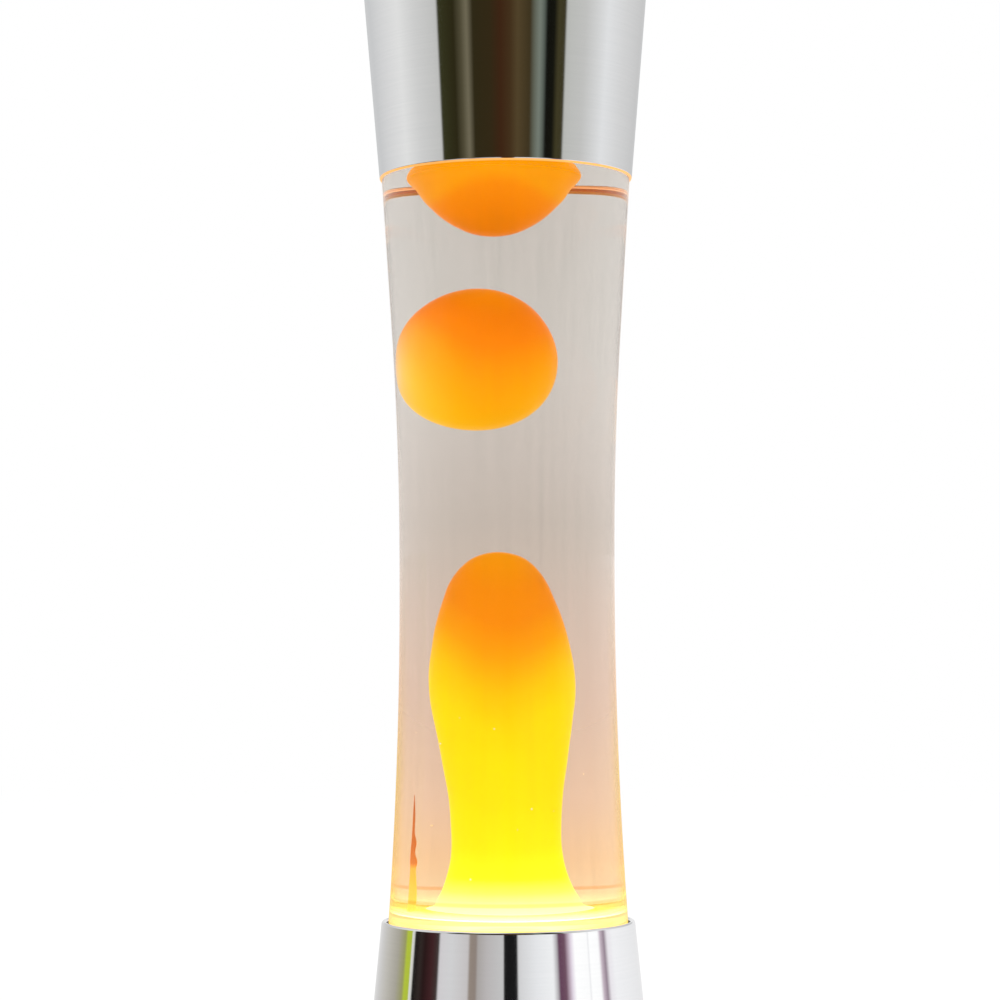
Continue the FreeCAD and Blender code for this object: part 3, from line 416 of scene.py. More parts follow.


# glow colours painted into each wax by height over its own yellow or orange; the column's brightest, above
# 1, sit just over the bulb
column_wax = wax(
    "wax_yellow",
    [
        (107, (1.8, 1.8, 0.9, 1)),
        (111, (1.8, 1.8, 0.66, 1)),
        (115, (1.5, 1.5, 0.2, 1)),
        (119, (1.15, 1.15, 0.016, 1)),
        (127, linear(253, 252, 6)),
        (140, linear(254, 242, 2)),
        (152, linear(255, 236, 0)),
        (161, linear(253, 229, 1)),
        (172, linear(255, 208, 1)),
        (183, linear(255, 170, 0)),
        (194, linear(250, 147, 0)),
        (203, linear(249, 146, 0)),
        (214, linear(253, 158, 1)),
    ],
    0.0,
    middle_x=-0.8,
    bow=0.053,
)
floating_wax = wax(
    "wax_orange",
    [
        (238, linear(255, 205, 12)),
        (248, linear(255, 192, 8)),
        (256, linear(254, 174, 2)),
        (266, linear(253, 154, 0)),
        (275, linear(249, 131, 0)),
        (284, linear(241, 124, 0)),
        (293, linear(240, 133, 0)),
    ],
    0.4,
    middle_x=-3.4,
    bow=0.0387,
)
surface_wax = wax(
    "wax_orange_top",
    [
        (303, linear(252, 150, 4)),
        (311, linear(240, 129, 1)),
        (318, linear(247, 135, 0)),
        (324, linear(252, 141, 0)),
        (328, linear(254, 158, 4)),
    ],
    0.9,
    middle_x=-2.7,
    bow=-0.03,
)
streak_wax = wax(
    "wax_streak",
    [
        (108, linear(255, 216, 100)),
        (119, linear(252, 196, 84)),
        (122.5, linear(248, 186, 84)),
        (124, linear(206, 120, 66)),
        (129, linear(190, 100, 52)),
        (144, linear(178, 100, 62)),
    ],
    1.3,
)


def glow_painted_metal(name, stops, roughness):
    """Spun metal beside the liquid's surface, with the lamp's orange light painted on: a painted reflection
    of the glowing wax and liquid, in its colour and in its emission.
    """
    material, tree, output, place = new_material(name)
    rings = grain(tree, place, SPIN, 9, detail=3.0)
    lit = height_ramp(tree, place, stops)
    mottle = ranged(tree, rings, 0.3, 0.7, 0.8, 1.12)
    painted_glow = node(
        tree,
        "Mix",
        {"Factor": 1.0, "A": lit, "B": mottle},
        data_type="RGBA",
        blend_type="MULTIPLY",
    )
    shader = node(
        tree,
        "BsdfPrincipled",
        {
            "Base Color": painted_glow.outputs["Result"],
            "Metallic": 0.35,
            "Roughness": ranged(tree, rings, 0.3, 0.7, roughness - 0.05, roughness + 0.05),
            "Emission Color": painted_glow.outputs["Result"],
            "Emission Strength": 0.5,
            "Normal": bump(tree, rings, 0.2, 0.00003),
        },
    )
    tree.links.new(shader.outputs["BSDF"], output.inputs["Surface"])
    return material


# painted reflection of the lamp's glow inside the cap: a bright peach line at the cap's edge, orange-brown
# above it, fading to grey
sheet_glow_paint = glow_painted_metal(
    "cap_sheet_painted_glow",
    [
        (328.0, linear(255, 214, 160)),
        (328.5, linear(226, 140, 76)),
        (329.5, linear(206, 122, 62)),
        (332.0, linear(214, 140, 84)),
        (336.0, linear(190, 172, 160)),
        (350.0, linear(150, 150, 150)),
    ],
    0.4,
)
# painted glow on the cap's edge bead, light orange
bead_glow_paint = glow_painted_metal(
    "cap_bead_painted_glow", [(328.0, linear(250, 180, 98)), (328.9, linear(240, 162, 78))], 0.35
)


# radii over which the glow painted into the bottle's underside gives way to the glow painted into its side
PUNT_LIT_R = 24.0
PUNT_DIM_R = 32.0


def bottle_material():
    """Clear glass drawn upward, so its faint waves run along its height; the bulb's light is painted into
    its foot and edges.
    """
    material, tree, output, place = new_material("bottle_glass")
    waves = grain(tree, place, (90, 90, 3), 1.0, detail=3.0)
    drawn = grain(tree, place, (420, 420, 5), 1.0, detail=2.0)
    clear = ramp(tree, drawn, [(0.35, (0.96, 0.965, 0.96, 1)), (0.65, (0.995, 0.996, 0.994, 1))])
    # painted shade: a darker orange band round the glass at the inner corner of the heel
    corner = height_ramp(
        tree,
        place,
        [
            (112.3, (1, 1, 1, 1)),
            (112.6, (0.93, 0.73, 0.60, 1)),
            (113.2, (0.93, 0.73, 0.60, 1)),
            (113.7, (1, 1, 1, 1)),
        ],
    )
    clear_and_corner_shade = node(
        tree,
        "Mix",
        {"Factor": 1.0, "A": clear, "B": corner},
        data_type="RGBA",
        blend_type="MULTIPLY",
    ).outputs["Result"]
    # painted glow in the glass's edges: seen at a slant the glass is tinted yellow, most near the bottom,
    # standing in for the bulb's light carried up the wall
    edge_glow_paint = height_ramp(
        tree,
        place,
        [
            (106, (1.0, 0.82, 0.06, 1)),
            (150, (1.0, 0.86, 0.20, 1)),
            (175, (1.0, 0.92, 0.55, 1)),
            (215, (1.0, 1.0, 1.0, 1)),
        ],
    )
    grazing = node(tree, "LayerWeight", {"Blend": 0.5}).outputs["Facing"]
    tint = node(
        tree,
        "Mix",
        {"Factor": ranged(tree, grazing, 0.6, 0.85, 0.0, 1.0), "A": clear_and_corner_shade, "B": edge_glow_paint},
        data_type="RGBA",
        blend_type="MULTIPLY",
    ).outputs["Result"]
    # glow painted in by emission, standing in for the bulb's light: in the side, strongest at the heel
    side = height_ramp(
        tree,
        place,
        [
            (104, (0.45, 0.34, 0.13, 1)),
            (109.6, (0.42, 0.29, 0.12, 1)),
            (110.8, (0.2, 0.08, 0.0, 1)),
            (112.4, (0.12, 0.04, 0.0, 1)),
            (114, (0.03, 0.01, 0.0, 1)),
            (150, (0.01, 0.004, 0.0, 1)),
            (200, (0.0, 0.0, 0.0, 1)),
        ],
    )
    # glow painted in by emission under the bottle's floor, bright where the bulb shines through
    floor = height_ramp(
        tree, place, [(103.5, (1.1, 1.05, 0.8, 1)), (105, (0.06, 0.03, 0.0, 1)), (112, (0.0, 0.0, 0.0, 1))]
    )
    # painted sheen: an orange sheen at the glass's edges, strongest low down, standing in for the bulb's
    # light in the wall
    rim = height_ramp(
        tree,
        place,
        [
            (106, (1.0, 0.62, 0.08, 1)),
            (150, (1.0, 0.66, 0.12, 1)),
            (175, (1.0, 0.62, 0.35, 1)),
            (215, (0.9, 0.78, 0.68, 1)),
            (330, (0.75, 0.68, 0.62, 1)),
        ],
    )
    flat = node(tree, "Mapping", {"Vector": place, "Scale": (1, 1, 0)}).outputs["Vector"]
    radius = node(tree, "VectorMath", {0: flat}, operation="LENGTH").outputs["Value"]
    lit = node(
        tree,
        "Mix",
        {"Factor": ranged(tree, radius, PUNT_LIT_R * MM, PUNT_DIM_R * MM, 0.0, 1.0), "A": floor, "B": side},
        data_type="RGBA",
    )
    shader = node(
        tree,
        "BsdfPrincipled",
        {
            "Base Color": tint,
            "Roughness": 0.0,
            "IOR": 1.5,
            "Specular Tint": (0.07, 0.07, 0.07, 1),
            "Transmission Weight": 1.0,
            "Emission Color": lit.outputs["Result"],
            "Emission Strength": 1.0,
            "Sheen Weight": 1.0,
            "Sheen Roughness": 0.35,
            "Sheen Tint": rim,
            "Normal": bump(tree, waves, 0.12, 0.0001),
        },
    )
    tree.links.new(shader.outputs["BSDF"], output.inputs["Surface"])
    return material


# heights over the liquid's surface where the glow painted into its creeping edge is brightest, and where it
# darkens again
SHORE_LIT = (0.05, 0.12)
SHORE_DARK = (0.35, 0.6)


def over_surface(tree, z, rise):
    """From 0 to 1 over a rise that is given from the liquid's surface."""
    return ranged(tree, z, (LIQUID_Z + rise[0]) * MM, (LIQUID_Z + rise[1]) * MM, 0.0, 1.0)


def liquid_material():
    """The clear warm-grey liquid, with the lamp's light painted into it near the bottom and at its creeping
    edge.
    """
    material, tree, output, place = new_material("lamp_liquid")
    haze = grain(tree, place, (30, 30, 8), 1.0, detail=3.0)
    # transmission tint by height: the liquid's own warm grey at the top; toward the bottom a yellow and
    # peach tint painted in for the bulb's light; darker around 225 mm
    colour = height_ramp(
        tree,
        place,
        [
            (108, (1.0, 0.93, 0.62, 1)),
            (116, (1.0, 0.93, 0.64, 1)),
            (123, (1.0, 0.855, 0.56, 1)),
            (141, (0.975, 0.84, 0.66, 1)),
            (171, (0.96, 0.82, 0.705, 1)),
            (201, (0.93, 0.825, 0.745, 1)),
            (225, (0.86, 0.81, 0.765, 1)),
            (243, (0.91, 0.873, 0.845, 1)),
            (270, (0.98, 0.97, 0.955, 1)),
            (327, (0.99, 0.985, 0.98, 1)),
        ],
    )
    # glow painted in by emission, strongest at the bottom, standing in for the bulb's light
    glow = height_ramp(
        tree,
        place,
        [
            (108, (0.22, 0.12, 0.02, 1)),
            (110, (0.15, 0.05, 0.008, 1)),
            (116, (0.14, 0.035, 0.008, 1)),
            (140, (0.10, 0.018, 0.004, 1)),
            (170, (0.05, 0.006, 0.001, 1)),
            (215, (0.012, 0.002, 0.0, 1)),
            (300, (0.0, 0.0, 0.0, 1)),
            (327, (0.0, 0.0, 0.0, 1)),
        ],
    )
    z = node(tree, "SeparateXYZ", {"Vector": place}).outputs["Z"]
    # painted glow at the creeping edge: bright orange at the surface, darker above it
    shore_glow_paint = node(
        tree,
        "Mix",
        {
            "Factor": over_surface(tree, z, SHORE_DARK),
            "A": (0.95, 0.62, 0.30, 1),
            "B": (0.42, 0.16, 0.04, 1),
        },
        data_type="RGBA",
    ).outputs["Result"]
    lit = node(
        tree,
        "Mix",
        {"Factor": over_surface(tree, z, SHORE_LIT), "A": glow, "B": shore_glow_paint},
        data_type="RGBA",
    ).outputs["Result"]
    shader = node(
        tree,
        "BsdfPrincipled",
        {
            "Base Color": colour,
            "Roughness": 0.0,
            "IOR": 1.36,
            "Specular Tint": (0.05, 0.05, 0.05, 1),
            "Transmission Weight": 1.0,
            "Emission Color": lit,
            "Emission Strength": 1.0,
            "Normal": bump(tree, haze, 0.02, 0.0002),
        },
    )
    volume = node(tree, "VolumeAbsorption", {"Color": (0.40, 0.30, 0.20, 1), "Density": 12.0})
    tree.links.new(shader.outputs["BSDF"], output.inputs["Surface"])
    tree.links.new(volume.outputs["Volume"], output.inputs["Volume"])
    return material


def air_material():
    """The skin of a small air bubble, with a warm highlight painted on by emission."""
    material, tree, output, place = new_material("air_bubble")
    film = grain(tree, place, EVEN, 1200, detail=2.0)
    shader = node(
        tree,
        "BsdfPrincipled",
        {
            "Base Color": ramp(tree, film, [(0.3, (0.86, 0.78, 0.7, 1)), (0.7, (1, 0.95, 0.88, 1))]),
            "Roughness": ranged(tree, film, 0.3, 0.7, 0.02, 0.08),
            "IOR": 1.33,
            "Transmission Weight": 0.5,
            # painted highlight: a warm glow by emission
            "Emission Color": (1.0, 0.8, 0.6, 1),
            "Emission Strength": 0.45,
        },
    )
    tree.links.new(shader.outputs["BSDF"], output.inputs["Surface"])
    return material


air = air_material()


SILVER_TOP = 73.5
CLEAR_LOW = 76.5


def bulb_material():
    """A reflector bulb: silvered below its shoulder, and a lit frosted face above it."""
    material, tree, output, place = new_material("bulb_glass")
    frost = grain(tree, place, EVEN, 1500, detail=2.0)
    z = node(tree, "SeparateXYZ", {"Vector": place}).outputs["Z"]
    silver = ranged(tree, z, SILVER_TOP * MM, CLEAR_LOW * MM, 1.0, 0.0)
    colour = ramp(tree, silver, [(0.0, (0.95, 0.93, 0.88, 1)), (1.0, (0.78, 0.78, 0.76, 1))])
    glow = height_ramp(
        tree, place, [(73, (0.0, 0.0, 0.0, 1)), (76, (0.8, 0.6, 0.35, 1)), (84, (1.0, 0.86, 0.6, 1))]
    )
    shader = node(
        tree,
        "BsdfPrincipled",
        {
            "Base Color": colour,
            "Metallic": silver,
            "Roughness": ranged(tree, frost, 0.3, 0.7, 0.2, 0.32),
            "Emission Color": glow,
            "Emission Strength": 3.0,
            "Normal": bump(tree, frost, 0.1, 0.00003),
        },
    )
    tree.links.new(shader.outputs["BSDF"], output.inputs["Surface"])
    return material


bottle_glass = bottle_material()
lamp_liquid = liquid_material()
bulb_glass = bulb_material()


# --- the spun housing and cap ---------------------------------------------------------

HOUSING_FOOT_R = 48.34
HOUSING_LEAN = 0.1
HOUSING_WALL = 0.8
HOUSING_LOW = 3.0
HOUSING_LEDGE_R = 38.5
HOUSING_CORNER = 1.25
HOUSING_RIM = 106.0
HOUSING_BEAD = 0.8
INLET_R = 4.6
INLET_Z = 15.0
DRILL_FROM = 30.0
DRILL_TO = 60.0

lean = math.degrees(math.atan(HOUSING_LEAN))
slant = math.hypot(1, HOUSING_LEAN)


def housing_r(z, inset=0.0):
    """The housing's radius at a height, less a depth measured square to its wall."""
    return HOUSING_FOOT_R - HOUSING_LEAN * z - inset * slant


corner_z = HOUSING_LOW + HOUSING_CORNER
corner = (housing_r(corner_z, HOUSING_CORNER), corner_z)
bead_z = HOUSING_RIM - HOUSING_BEAD
bead = (housing_r(bead_z, HOUSING_BEAD), bead_z)
bead_foot_z = bead_z - HOUSING_BEAD * 1.3
housing_profile = (
    [(HOUSING_LEDGE_R, HOUSING_LOW)]
    + arc(corner, HOUSING_CORNER, -90, lean, 8)
    + run((housing_r(corner_z + 0.3), corner_z + 0.3), (housing_r(bead_z - 0.3), bead_z - 0.3), 60)
    + arc(bead, HOUSING_BEAD, lean, 205, 14)
    + run(
        (housing_r(bead_foot_z, HOUSING_WALL), bead_foot_z),
        (housing_r(corner_z, HOUSING_WALL), corner_z),
        40,
    )
    + arc(corner, HOUSING_CORNER - HOUSING_WALL, lean, -90, 4)
    + [(HOUSING_LEDGE_R, HOUSING_LOW + HOUSING_WALL)]
)
housing = piece(
    "housing_shell", lathe(housing_profile), "base", polished, ["base_housing"]
)
drill = lathe(
    [(0, DRILL_FROM), (INLET_R, DRILL_FROM), (INLET_R, DRILL_TO), (0, DRILL_TO)],
    closed=False,
    turns=48,
)
drilled(housing, moved(drill, (0, 0, INLET_Z), Matrix.Rotation(math.radians(-90), 4, "X")))

CAP_RIM_R = 38.0
CAP_LOW = 328.0
CAP_LEAN = 0.0843
CAP_WALL = 0.4
CAP_TOP = 400.0
CAP_CORNER = 2.5
CAP_CORNER_AT = (41.35, 397.5)
CAP_DISH_R = 36.0
CAP_DISH = 0.35
CAP_EDGE_R = 0.2
CAP_EDGE_Z = CAP_LOW + 0.7
CAP_WALL_LOW = CAP_LOW + 1.0

cap_lean = -math.degrees(math.atan(CAP_LEAN))


def cap_r(z, inset=0.0):
    """The cap's radius at a height, less a depth measured square to its wall."""
    return CAP_RIM_R + CAP_LEAN * (z - CAP_LOW) - inset * math.hypot(1, CAP_LEAN)


cap_turn_z = CAP_CORNER_AT[1] - 0.4
cap_profile = (
    [(0, CAP_TOP - CAP_DISH)]
    + run((4, CAP_TOP - CAP_DISH), (CAP_DISH_R - 2, CAP_TOP - CAP_DISH), 12)
    + run((CAP_DISH_R - 1, CAP_TOP - 0.25), (CAP_DISH_R, CAP_TOP - 0.03), 2)
    + [(CAP_DISH_R + 1, CAP_TOP)]
    + arc(CAP_CORNER_AT, CAP_CORNER, 90, cap_lean, 14)
    + run((cap_r(cap_turn_z), cap_turn_z), (cap_r(CAP_WALL_LOW + 0.3), CAP_WALL_LOW + 0.3), 50)
    + [(cap_r(CAP_WALL_LOW), CAP_WALL_LOW)]
    + arc((cap_r(CAP_EDGE_Z, CAP_EDGE_R), CAP_EDGE_Z), CAP_EDGE_R, cap_lean, -175, 8)
    + run(
        (cap_r(CAP_WALL_LOW, CAP_WALL), CAP_WALL_LOW),
        (cap_r(cap_turn_z, CAP_WALL), cap_turn_z),
        30,
    )
    + arc(CAP_CORNER_AT, CAP_CORNER - CAP_WALL, cap_lean, 90, 8)
    + [(CAP_DISH_R + 1, CAP_TOP - CAP_WALL), (CAP_DISH_R, CAP_TOP - 0.45)]
    + run((CAP_DISH_R - 2, CAP_TOP - CAP_DISH - CAP_WALL), (4, CAP_TOP - CAP_DISH - CAP_WALL), 6)
    + [(0, CAP_TOP - CAP_DISH - CAP_WALL)]
)
piece("cap_shell", lathe(cap_profile, closed=False), "cap", polished, ["top_cap"])

# a thin sheet at the cap's inner wall that carries the painted reflection of the lamp's glow
CAP_SHEET_LOW = CAP_LOW + 0.35
CAP_SHEET_TOP = 350.0
CAP_SHEET_OUT = CAP_WALL - 0.02
CAP_SHEET_IN = CAP_WALL + 0.04
cap_sheet_profile = run(
    (cap_r(CAP_SHEET_LOW, CAP_SHEET_OUT), CAP_SHEET_LOW), (cap_r(CAP_SHEET_TOP, CAP_SHEET_OUT), CAP_SHEET_TOP), 30
) + run(
    (cap_r(CAP_SHEET_TOP, CAP_SHEET_IN), CAP_SHEET_TOP), (cap_r(CAP_SHEET_LOW, CAP_SHEET_IN), CAP_SHEET_LOW), 30
)
piece("cap_lining", lathe(cap_sheet_profile), "cap", sheet_glow_paint)

# a bead round the cap's edge, which carries a painted glow line
RIM_BEAD = 0.42
bead_profile = arc((CAP_RIM_R - RIM_BEAD, CAP_LOW + RIM_BEAD), RIM_BEAD, 0, 345, 23)
piece("cap_bead", lathe(bead_profile), "cap", bead_glow_paint)


# --- the bottle, its liquid and its crown cap -----------------------------------------

GLASS = 2.8
WAIST_R = 32.25
WAIST_LOW = 205.0
WAIST_HIGH = 213.0
LOWER_BOW = 1420.0
UPPER_BOW = 1085.0
BOW_END = 282.4
CONE_LEAN = 0.0641
SHOULDER_Z = 327.0
SHOULDER_AT = (23.364, 327.895)
SHOULDER_R = 14.0
BOTTLE_LOW = 102.0
HEEL_AT = (31.695, 106.0)
HEEL_R = 4.0
PUNT_R = 22.0
PUNT_RISE = 1.2
FLOOR_Z = 108.0
LIQUID_GRIP = 0.06


def bottle_r(z):
    """The outside radius of the bottle between its heel and its shoulder."""
    if z < WAIST_LOW:
        return WAIST_R + LOWER_BOW - math.sqrt(LOWER_BOW**2 - (WAIST_LOW - z) ** 2)
    if z < WAIST_HIGH:
        return WAIST_R
    bow = min(z, BOW_END) - WAIST_HIGH
    return WAIST_R + UPPER_BOW - math.sqrt(UPPER_BOW**2 - bow**2) + CONE_LEAN * max(0, z - BOW_END)


def wall(low, high, steps, inset=0.0):
    """Points up the bottle's wall, moved in by a depth."""
    return [
        (bottle_r(z) - inset, z) for z in (low + (high - low) * i / steps for i in range(steps + 1))
    ]


bottle_profile = (
    [(0, BOTTLE_LOW + PUNT_RISE)]
    + [
        (PUNT_R * i / 10, BOTTLE_LOW + PUNT_RISE * (1 - (i / 10) ** 2))
        for i in range(1, 11)
    ]
    + run((PUNT_R + 2, BOTTLE_LOW), (HEEL_AT[0] - 0.5, BOTTLE_LOW), 4)
    + arc(HEEL_AT, HEEL_R, -90, 2, 16)
    + wall(107, SHOULDER_Z, 110)
    + arc(SHOULDER_AT, SHOULDER_R, 2, 62, 20)
    + run((28.5, 341.02), (17.8, 346.71), 6)
    + arc((19.3, 352.7), 6.0, 242, 180, 10)
    + [(13.3, 360), (13.3, 369.2)]
    + arc((14.6, 370.2), 1.0, 200, 260, 4)[1:3]
    + arc((13.9, 371.7), 0.7, -60, 0, 5)
    + [(14.6, 375)]
    + arc((13.6, 377.0), 1.0, 0, 90, 6)
    + arc((11.4, 377.1), 0.9, 90, 180, 6)
    + [(10.5, 374), (10.5, 362), (10.5, 353)]
    + arc((19.3, 352.7), 8.8, 180, 242, 10)
    + run((16.4, 344.31), (27.4, 338.46), 6)
    + arc(SHOULDER_AT, SHOULDER_R - GLASS, 62, 4, 16)
    + wall(SHOULDER_Z, 113, 100, GLASS)
    + arc((28.05, 112.6), 4.6, 0, -90, 12)
    + run((26, FLOOR_Z), (4, FLOOR_Z), 8)
    + [(0, FLOOR_Z)]
)
piece(
    "blown_bottle",
    lathe(bottle_profile, closed=False),
    "bottle",
    bottle_glass,
    ["glass_bottle"],
)

liquid_profile = (
    [(0, FLOOR_Z - LIQUID_GRIP)]
    + run((4, FLOOR_Z - LIQUID_GRIP), (26, FLOOR_Z - LIQUID_GRIP), 8)
    + arc((28.05, 112.6), 4.6 + LIQUID_GRIP, -90, 0, 12)
    + wall(113, SHOULDER_Z, 100, GLASS - LIQUID_GRIP)
    + arc(SHOULDER_AT, SHOULDER_R - GLASS + LIQUID_GRIP, 2, 13, 6)
    + [(34.18, LIQUID_Z + MENISCUS)]
    + [
        (34.1 - creep, LIQUID_Z + MENISCUS * 0.93 * math.exp(-creep / 1.1))
        for creep in (0, 0.15, 0.35, 0.6, 0.9, 1.3, 1.8, 2.4, 3.2, 4.4)
    ]
    + run((28, LIQUID_Z), (3, LIQUID_Z), 10)
    + [(0, LIQUID_Z)]
)
piece(
    "liquid_fill",
    lathe(liquid_profile, closed=False),
    "bottle",
    lamp_liquid,
    ["lamp_liquid"],
)

CROWN_TEETH = 21
CROWN_LOW = 374.65
CROWN_TOP = 379.25
CROWN_SKIRT_Z = CROWN_TOP - 1.2
CRIMP = 0.42


def crimp(radius, height, angle):
    """The crown cap's skirt, pressed into teeth that deepen toward its lower edge."""
    depth = max(0.0, (CROWN_SKIRT_Z - height) / (CROWN_SKIRT_Z - CROWN_LOW))
    return radius - CRIMP * depth * (1 - math.cos(CROWN_TEETH * angle))


crown_profile = (
    [(0, CROWN_TOP)]
    + run((3, CROWN_TOP), (12.6, CROWN_TOP), 4)
    + arc((13.2, CROWN_TOP - 1.6), 1.6, 90, 10, 8)
    + run((15.0, CROWN_TOP - 2.0), (16.25, CROWN_LOW + 0.15), 8)
    + [(16.1, CROWN_LOW), (15.95, CROWN_LOW + 0.1)]
    + run((15.75, CROWN_LOW + 0.6), (14.95, CROWN_TOP - 2.0), 8)
    + arc((13.2, CROWN_TOP - 1.6), 1.35, 10, 90, 8)
    + run((12.6, CROWN_TOP - 0.25), (3, CROWN_TOP - 0.25), 4)
    + [(0, CROWN_TOP - 0.25)]
)
piece(
    "crimped_crown",
    lathe(crown_profile, closed=False, turns=252, flute=crimp),
    "bottle",
    tinplate,
    ["crown_cap"],
)


# --- the wax --------------------------------------------------------------------------


def smooth_through(points, value):
    """A smooth curve's other numbers at its first one, through points in rising order."""
    for i in range(len(points) - 1):
        if value <= points[i + 1][0] or i == len(points) - 2:
            break
    before, start = points[max(i - 1, 0)], points[i]
    end, after = points[i + 1], points[min(i + 2, len(points) - 1)]
    span = end[0] - start[0]
    t = max(0.0, min(1.0, (value - start[0]) / span))
    out = []
    for k in range(1, len(start)):
        left = (end[k] - before[k]) / max(end[0] - before[0], 1e-6) * span
        right = (after[k] - start[k]) / max(after[0] - start[0], 1e-6) * span
        h00 = 2 * t**3 - 3 * t**2 + 1
        h10 = t**3 - 2 * t**2 + t
        h01 = -2 * t**3 + 3 * t**2
        h11 = t**3 - t**2
        out.append(h00 * start[k] + h10 * left + h01 * end[k] + h11 * right)
    return out


def lumpy(point, size, depth, seed):
    """A push along the normal that makes wax uneven."""
    return noise.noise(Vector(point) / size + Vector((seed, seed, seed))) * depth


COLUMN_LOW = 108.1
COLUMN_TOP = 215.5
# height, radius, sideways lean of the column
COLUMN = [
    (108.1, 18.6, 0.4),
    (110.0, 16.8, 0.2),
    (114.0, 14.8, 0.0),
    (120.4, 13.0, -0.2),
    (126.4, 12.2, -0.3),
    (132.4, 12.1, -0.4),
    (141.4, 12.5, -0.5),
    (153.4, 13.8, -0.7),
    (165.4, 15.3, -1.0),
    (172.0, 16.0, -1.1),
    (180.0, 16.0, -1.3),
    (189.4, 14.9, -1.5),
    (195.4, 13.8, -1.7),
    (201.4, 12.3, -1.9),
    (206.0, 10.9, -2.0),
    (210.0, 8.9, -2.0),
    (213.4, 6.0, -2.0),
    (215.5, 0.0, -2.0),
]
COLUMN_SQUARED = [(z, r * r, lean_x) for z, r, lean_x in COLUMN]


def column_at(z):
    """The column's radius and centre at a height; squared radii close its tip roundly."""
    squared, lean_x = smooth_through(COLUMN_SQUARED, z)
    return math.sqrt(max(0.0, squared)), lean_x, 0.0


WAX_TURNS = 128
LUMP_SIZE = 9.0
LUMP_FADE_R = 6.0


def wax_rings(heights, ring_at, seed, depth=0.12):
    """Rings of an uneven wax body, with a pole at each end."""
    rings = []
    for z in heights:
        radius, cx, cy = ring_at(z)
        if radius < 0.02:
            rings.append([(cx, cy, z)])
            continue
        ring = []
        for i in range(WAX_TURNS):
            angle = 2 * math.pi * i / WAX_TURNS
            x, y = math.cos(angle), math.sin(angle)
            push = lumpy(
                (x * radius, y * radius, z), LUMP_SIZE, depth * min(1.0, radius / LUMP_FADE_R), seed
            )
            ring.append((cx + (radius + push) * x, cy + (radius + push) * y, z))
        rings.append(ring)
    return rings


def eased(low, high, steps):
    """Heights that crowd together at both ends, where a round body closes."""
    return [
        low + (high - low) * (1 - math.cos(math.pi * i / steps)) / 2 for i in range(steps + 1)
    ]


column_heights = [
    COLUMN_LOW + (COLUMN_TOP - COLUMN_LOW) * math.sin(math.pi / 2 * i / 110) for i in range(111)
]
column_rings = [[(0.2, 0, COLUMN_LOW)]] + wax_rings(column_heights, column_at, 3.0)
piece(
    "wax_riser",
    ring_mesh(column_rings, False),
    "bottle",
    column_wax,
    ["wax_column"],
    sharp=60,
)

BLOB_AT = (-8.0, -4.0, 273.0)
BLOB_R = 19.7
BLOB_HALF = 21.2
BLOB_LEAN = 1.3


def blob_at(z):
    """The floating blob: round, and a little fuller below its middle."""
    share = (z - BLOB_AT[2]) / BLOB_HALF
    radius = BLOB_R * math.sqrt(max(0.0, 1 - share**2))
    fuller = 1 - 0.035 * share * abs(share) ** 0.5
    return radius * fuller, BLOB_AT[0] + BLOB_LEAN * share**2, BLOB_AT[1]


blob_heights = eased(BLOB_AT[2] - BLOB_HALF, BLOB_AT[2] + BLOB_HALF, 72)
piece(
    "wax_floater",
    ring_mesh(wax_rings(blob_heights, blob_at, 11.0), False),
    "middle_wax",
    floating_wax,
    ["wax_blob_middle"],
    sharp=60,
)

POOL_AT = (-2.7, 0.0)
POOL_TOP = LIQUID_Z + 0.35
# height, radius of the wax at the surface
POOL = [
    (310.3, 0.0),
    (311.6, 5.6),
    (313.0, 7.8),
    (314.5, 9.7),
    (316.0, 11.2),
    (317.5, 12.5),
    (319.0, 13.6),
    (320.5, 14.7),
    (322.0, 15.65),
    (325.0, 17.1),
    (327.2, 18.6),
    (LIQUID_Z - 0.6, 19.3),
    (POOL_TOP, 19.35),
]
POOL_LOW = POOL[0][0]
POOL_SQUARED = [(z, r * r) for z, r in POOL]


def pool_at(z):
    """The wax that hangs from the liquid's surface: a round tip that widens to its rim."""
    return math.sqrt(max(0.0, smooth_through(POOL_SQUARED, z)[0])), *POOL_AT


pool_heights = [
    POOL_LOW + (POOL_TOP - POOL_LOW) * (1 - math.cos(math.pi / 2 * i / 48)) for i in range(49)
]
pool_rings = wax_rings(pool_heights, pool_at, 7.0)
pool_rings.append([(*POOL_AT, POOL_TOP)])
piece(
    "wax_pool",
    ring_mesh(pool_rings, False),
    "top_wax",
    surface_wax,
    ["wax_blob_top"],
    sharp=60,
)

STREAK = [
    (110.0, 1.5, 0.0),
    (115.0, 1.45, 0.3),
    (119.0, 1.3, 0.1),
    (122.5, 1.1, 0.1),
    (124.5, 1.35, -0.1),
    (127.0, 0.85, -0.3),
    (130.0, 0.95, 0.1),
    (133.0, 0.5, 0.1),
    (138.0, 0.45, 0.2),
    (144.0, 0.1, 0.3),
]
STREAK_BEARING = math.radians(211)
STREAK_GAP = 0.3


def streak_at(z):
    """A thin dribble of wax just inside the glass, which wanders as it rises."""
    radius, wander = smooth_through(STREAK, z)
    reach = bottle_r(z) - GLASS - STREAK_GAP - radius
    bearing = STREAK_BEARING + wander * 0.02
    return radius, reach * math.cos(bearing), reach * math.sin(bearing)


streak_low, streak_high = STREAK[0][0], STREAK[-1][0]
streak_heights = [streak_low + (streak_high - streak_low) * i / 40 for i in range(41)]
streak_rings = wax_rings(streak_heights, streak_at, 5.0, 0.5)
streak_rings = (
    [[tuple(sum(c) / len(c) for c in zip(*streak_rings[0]))]]
    + streak_rings
    + [[tuple(sum(c) / len(c) for c in zip(*streak_rings[-1]))]]
)
piece("wax_streak", ring_mesh(streak_rings, False), "bottle", streak_wax, sharp=70)

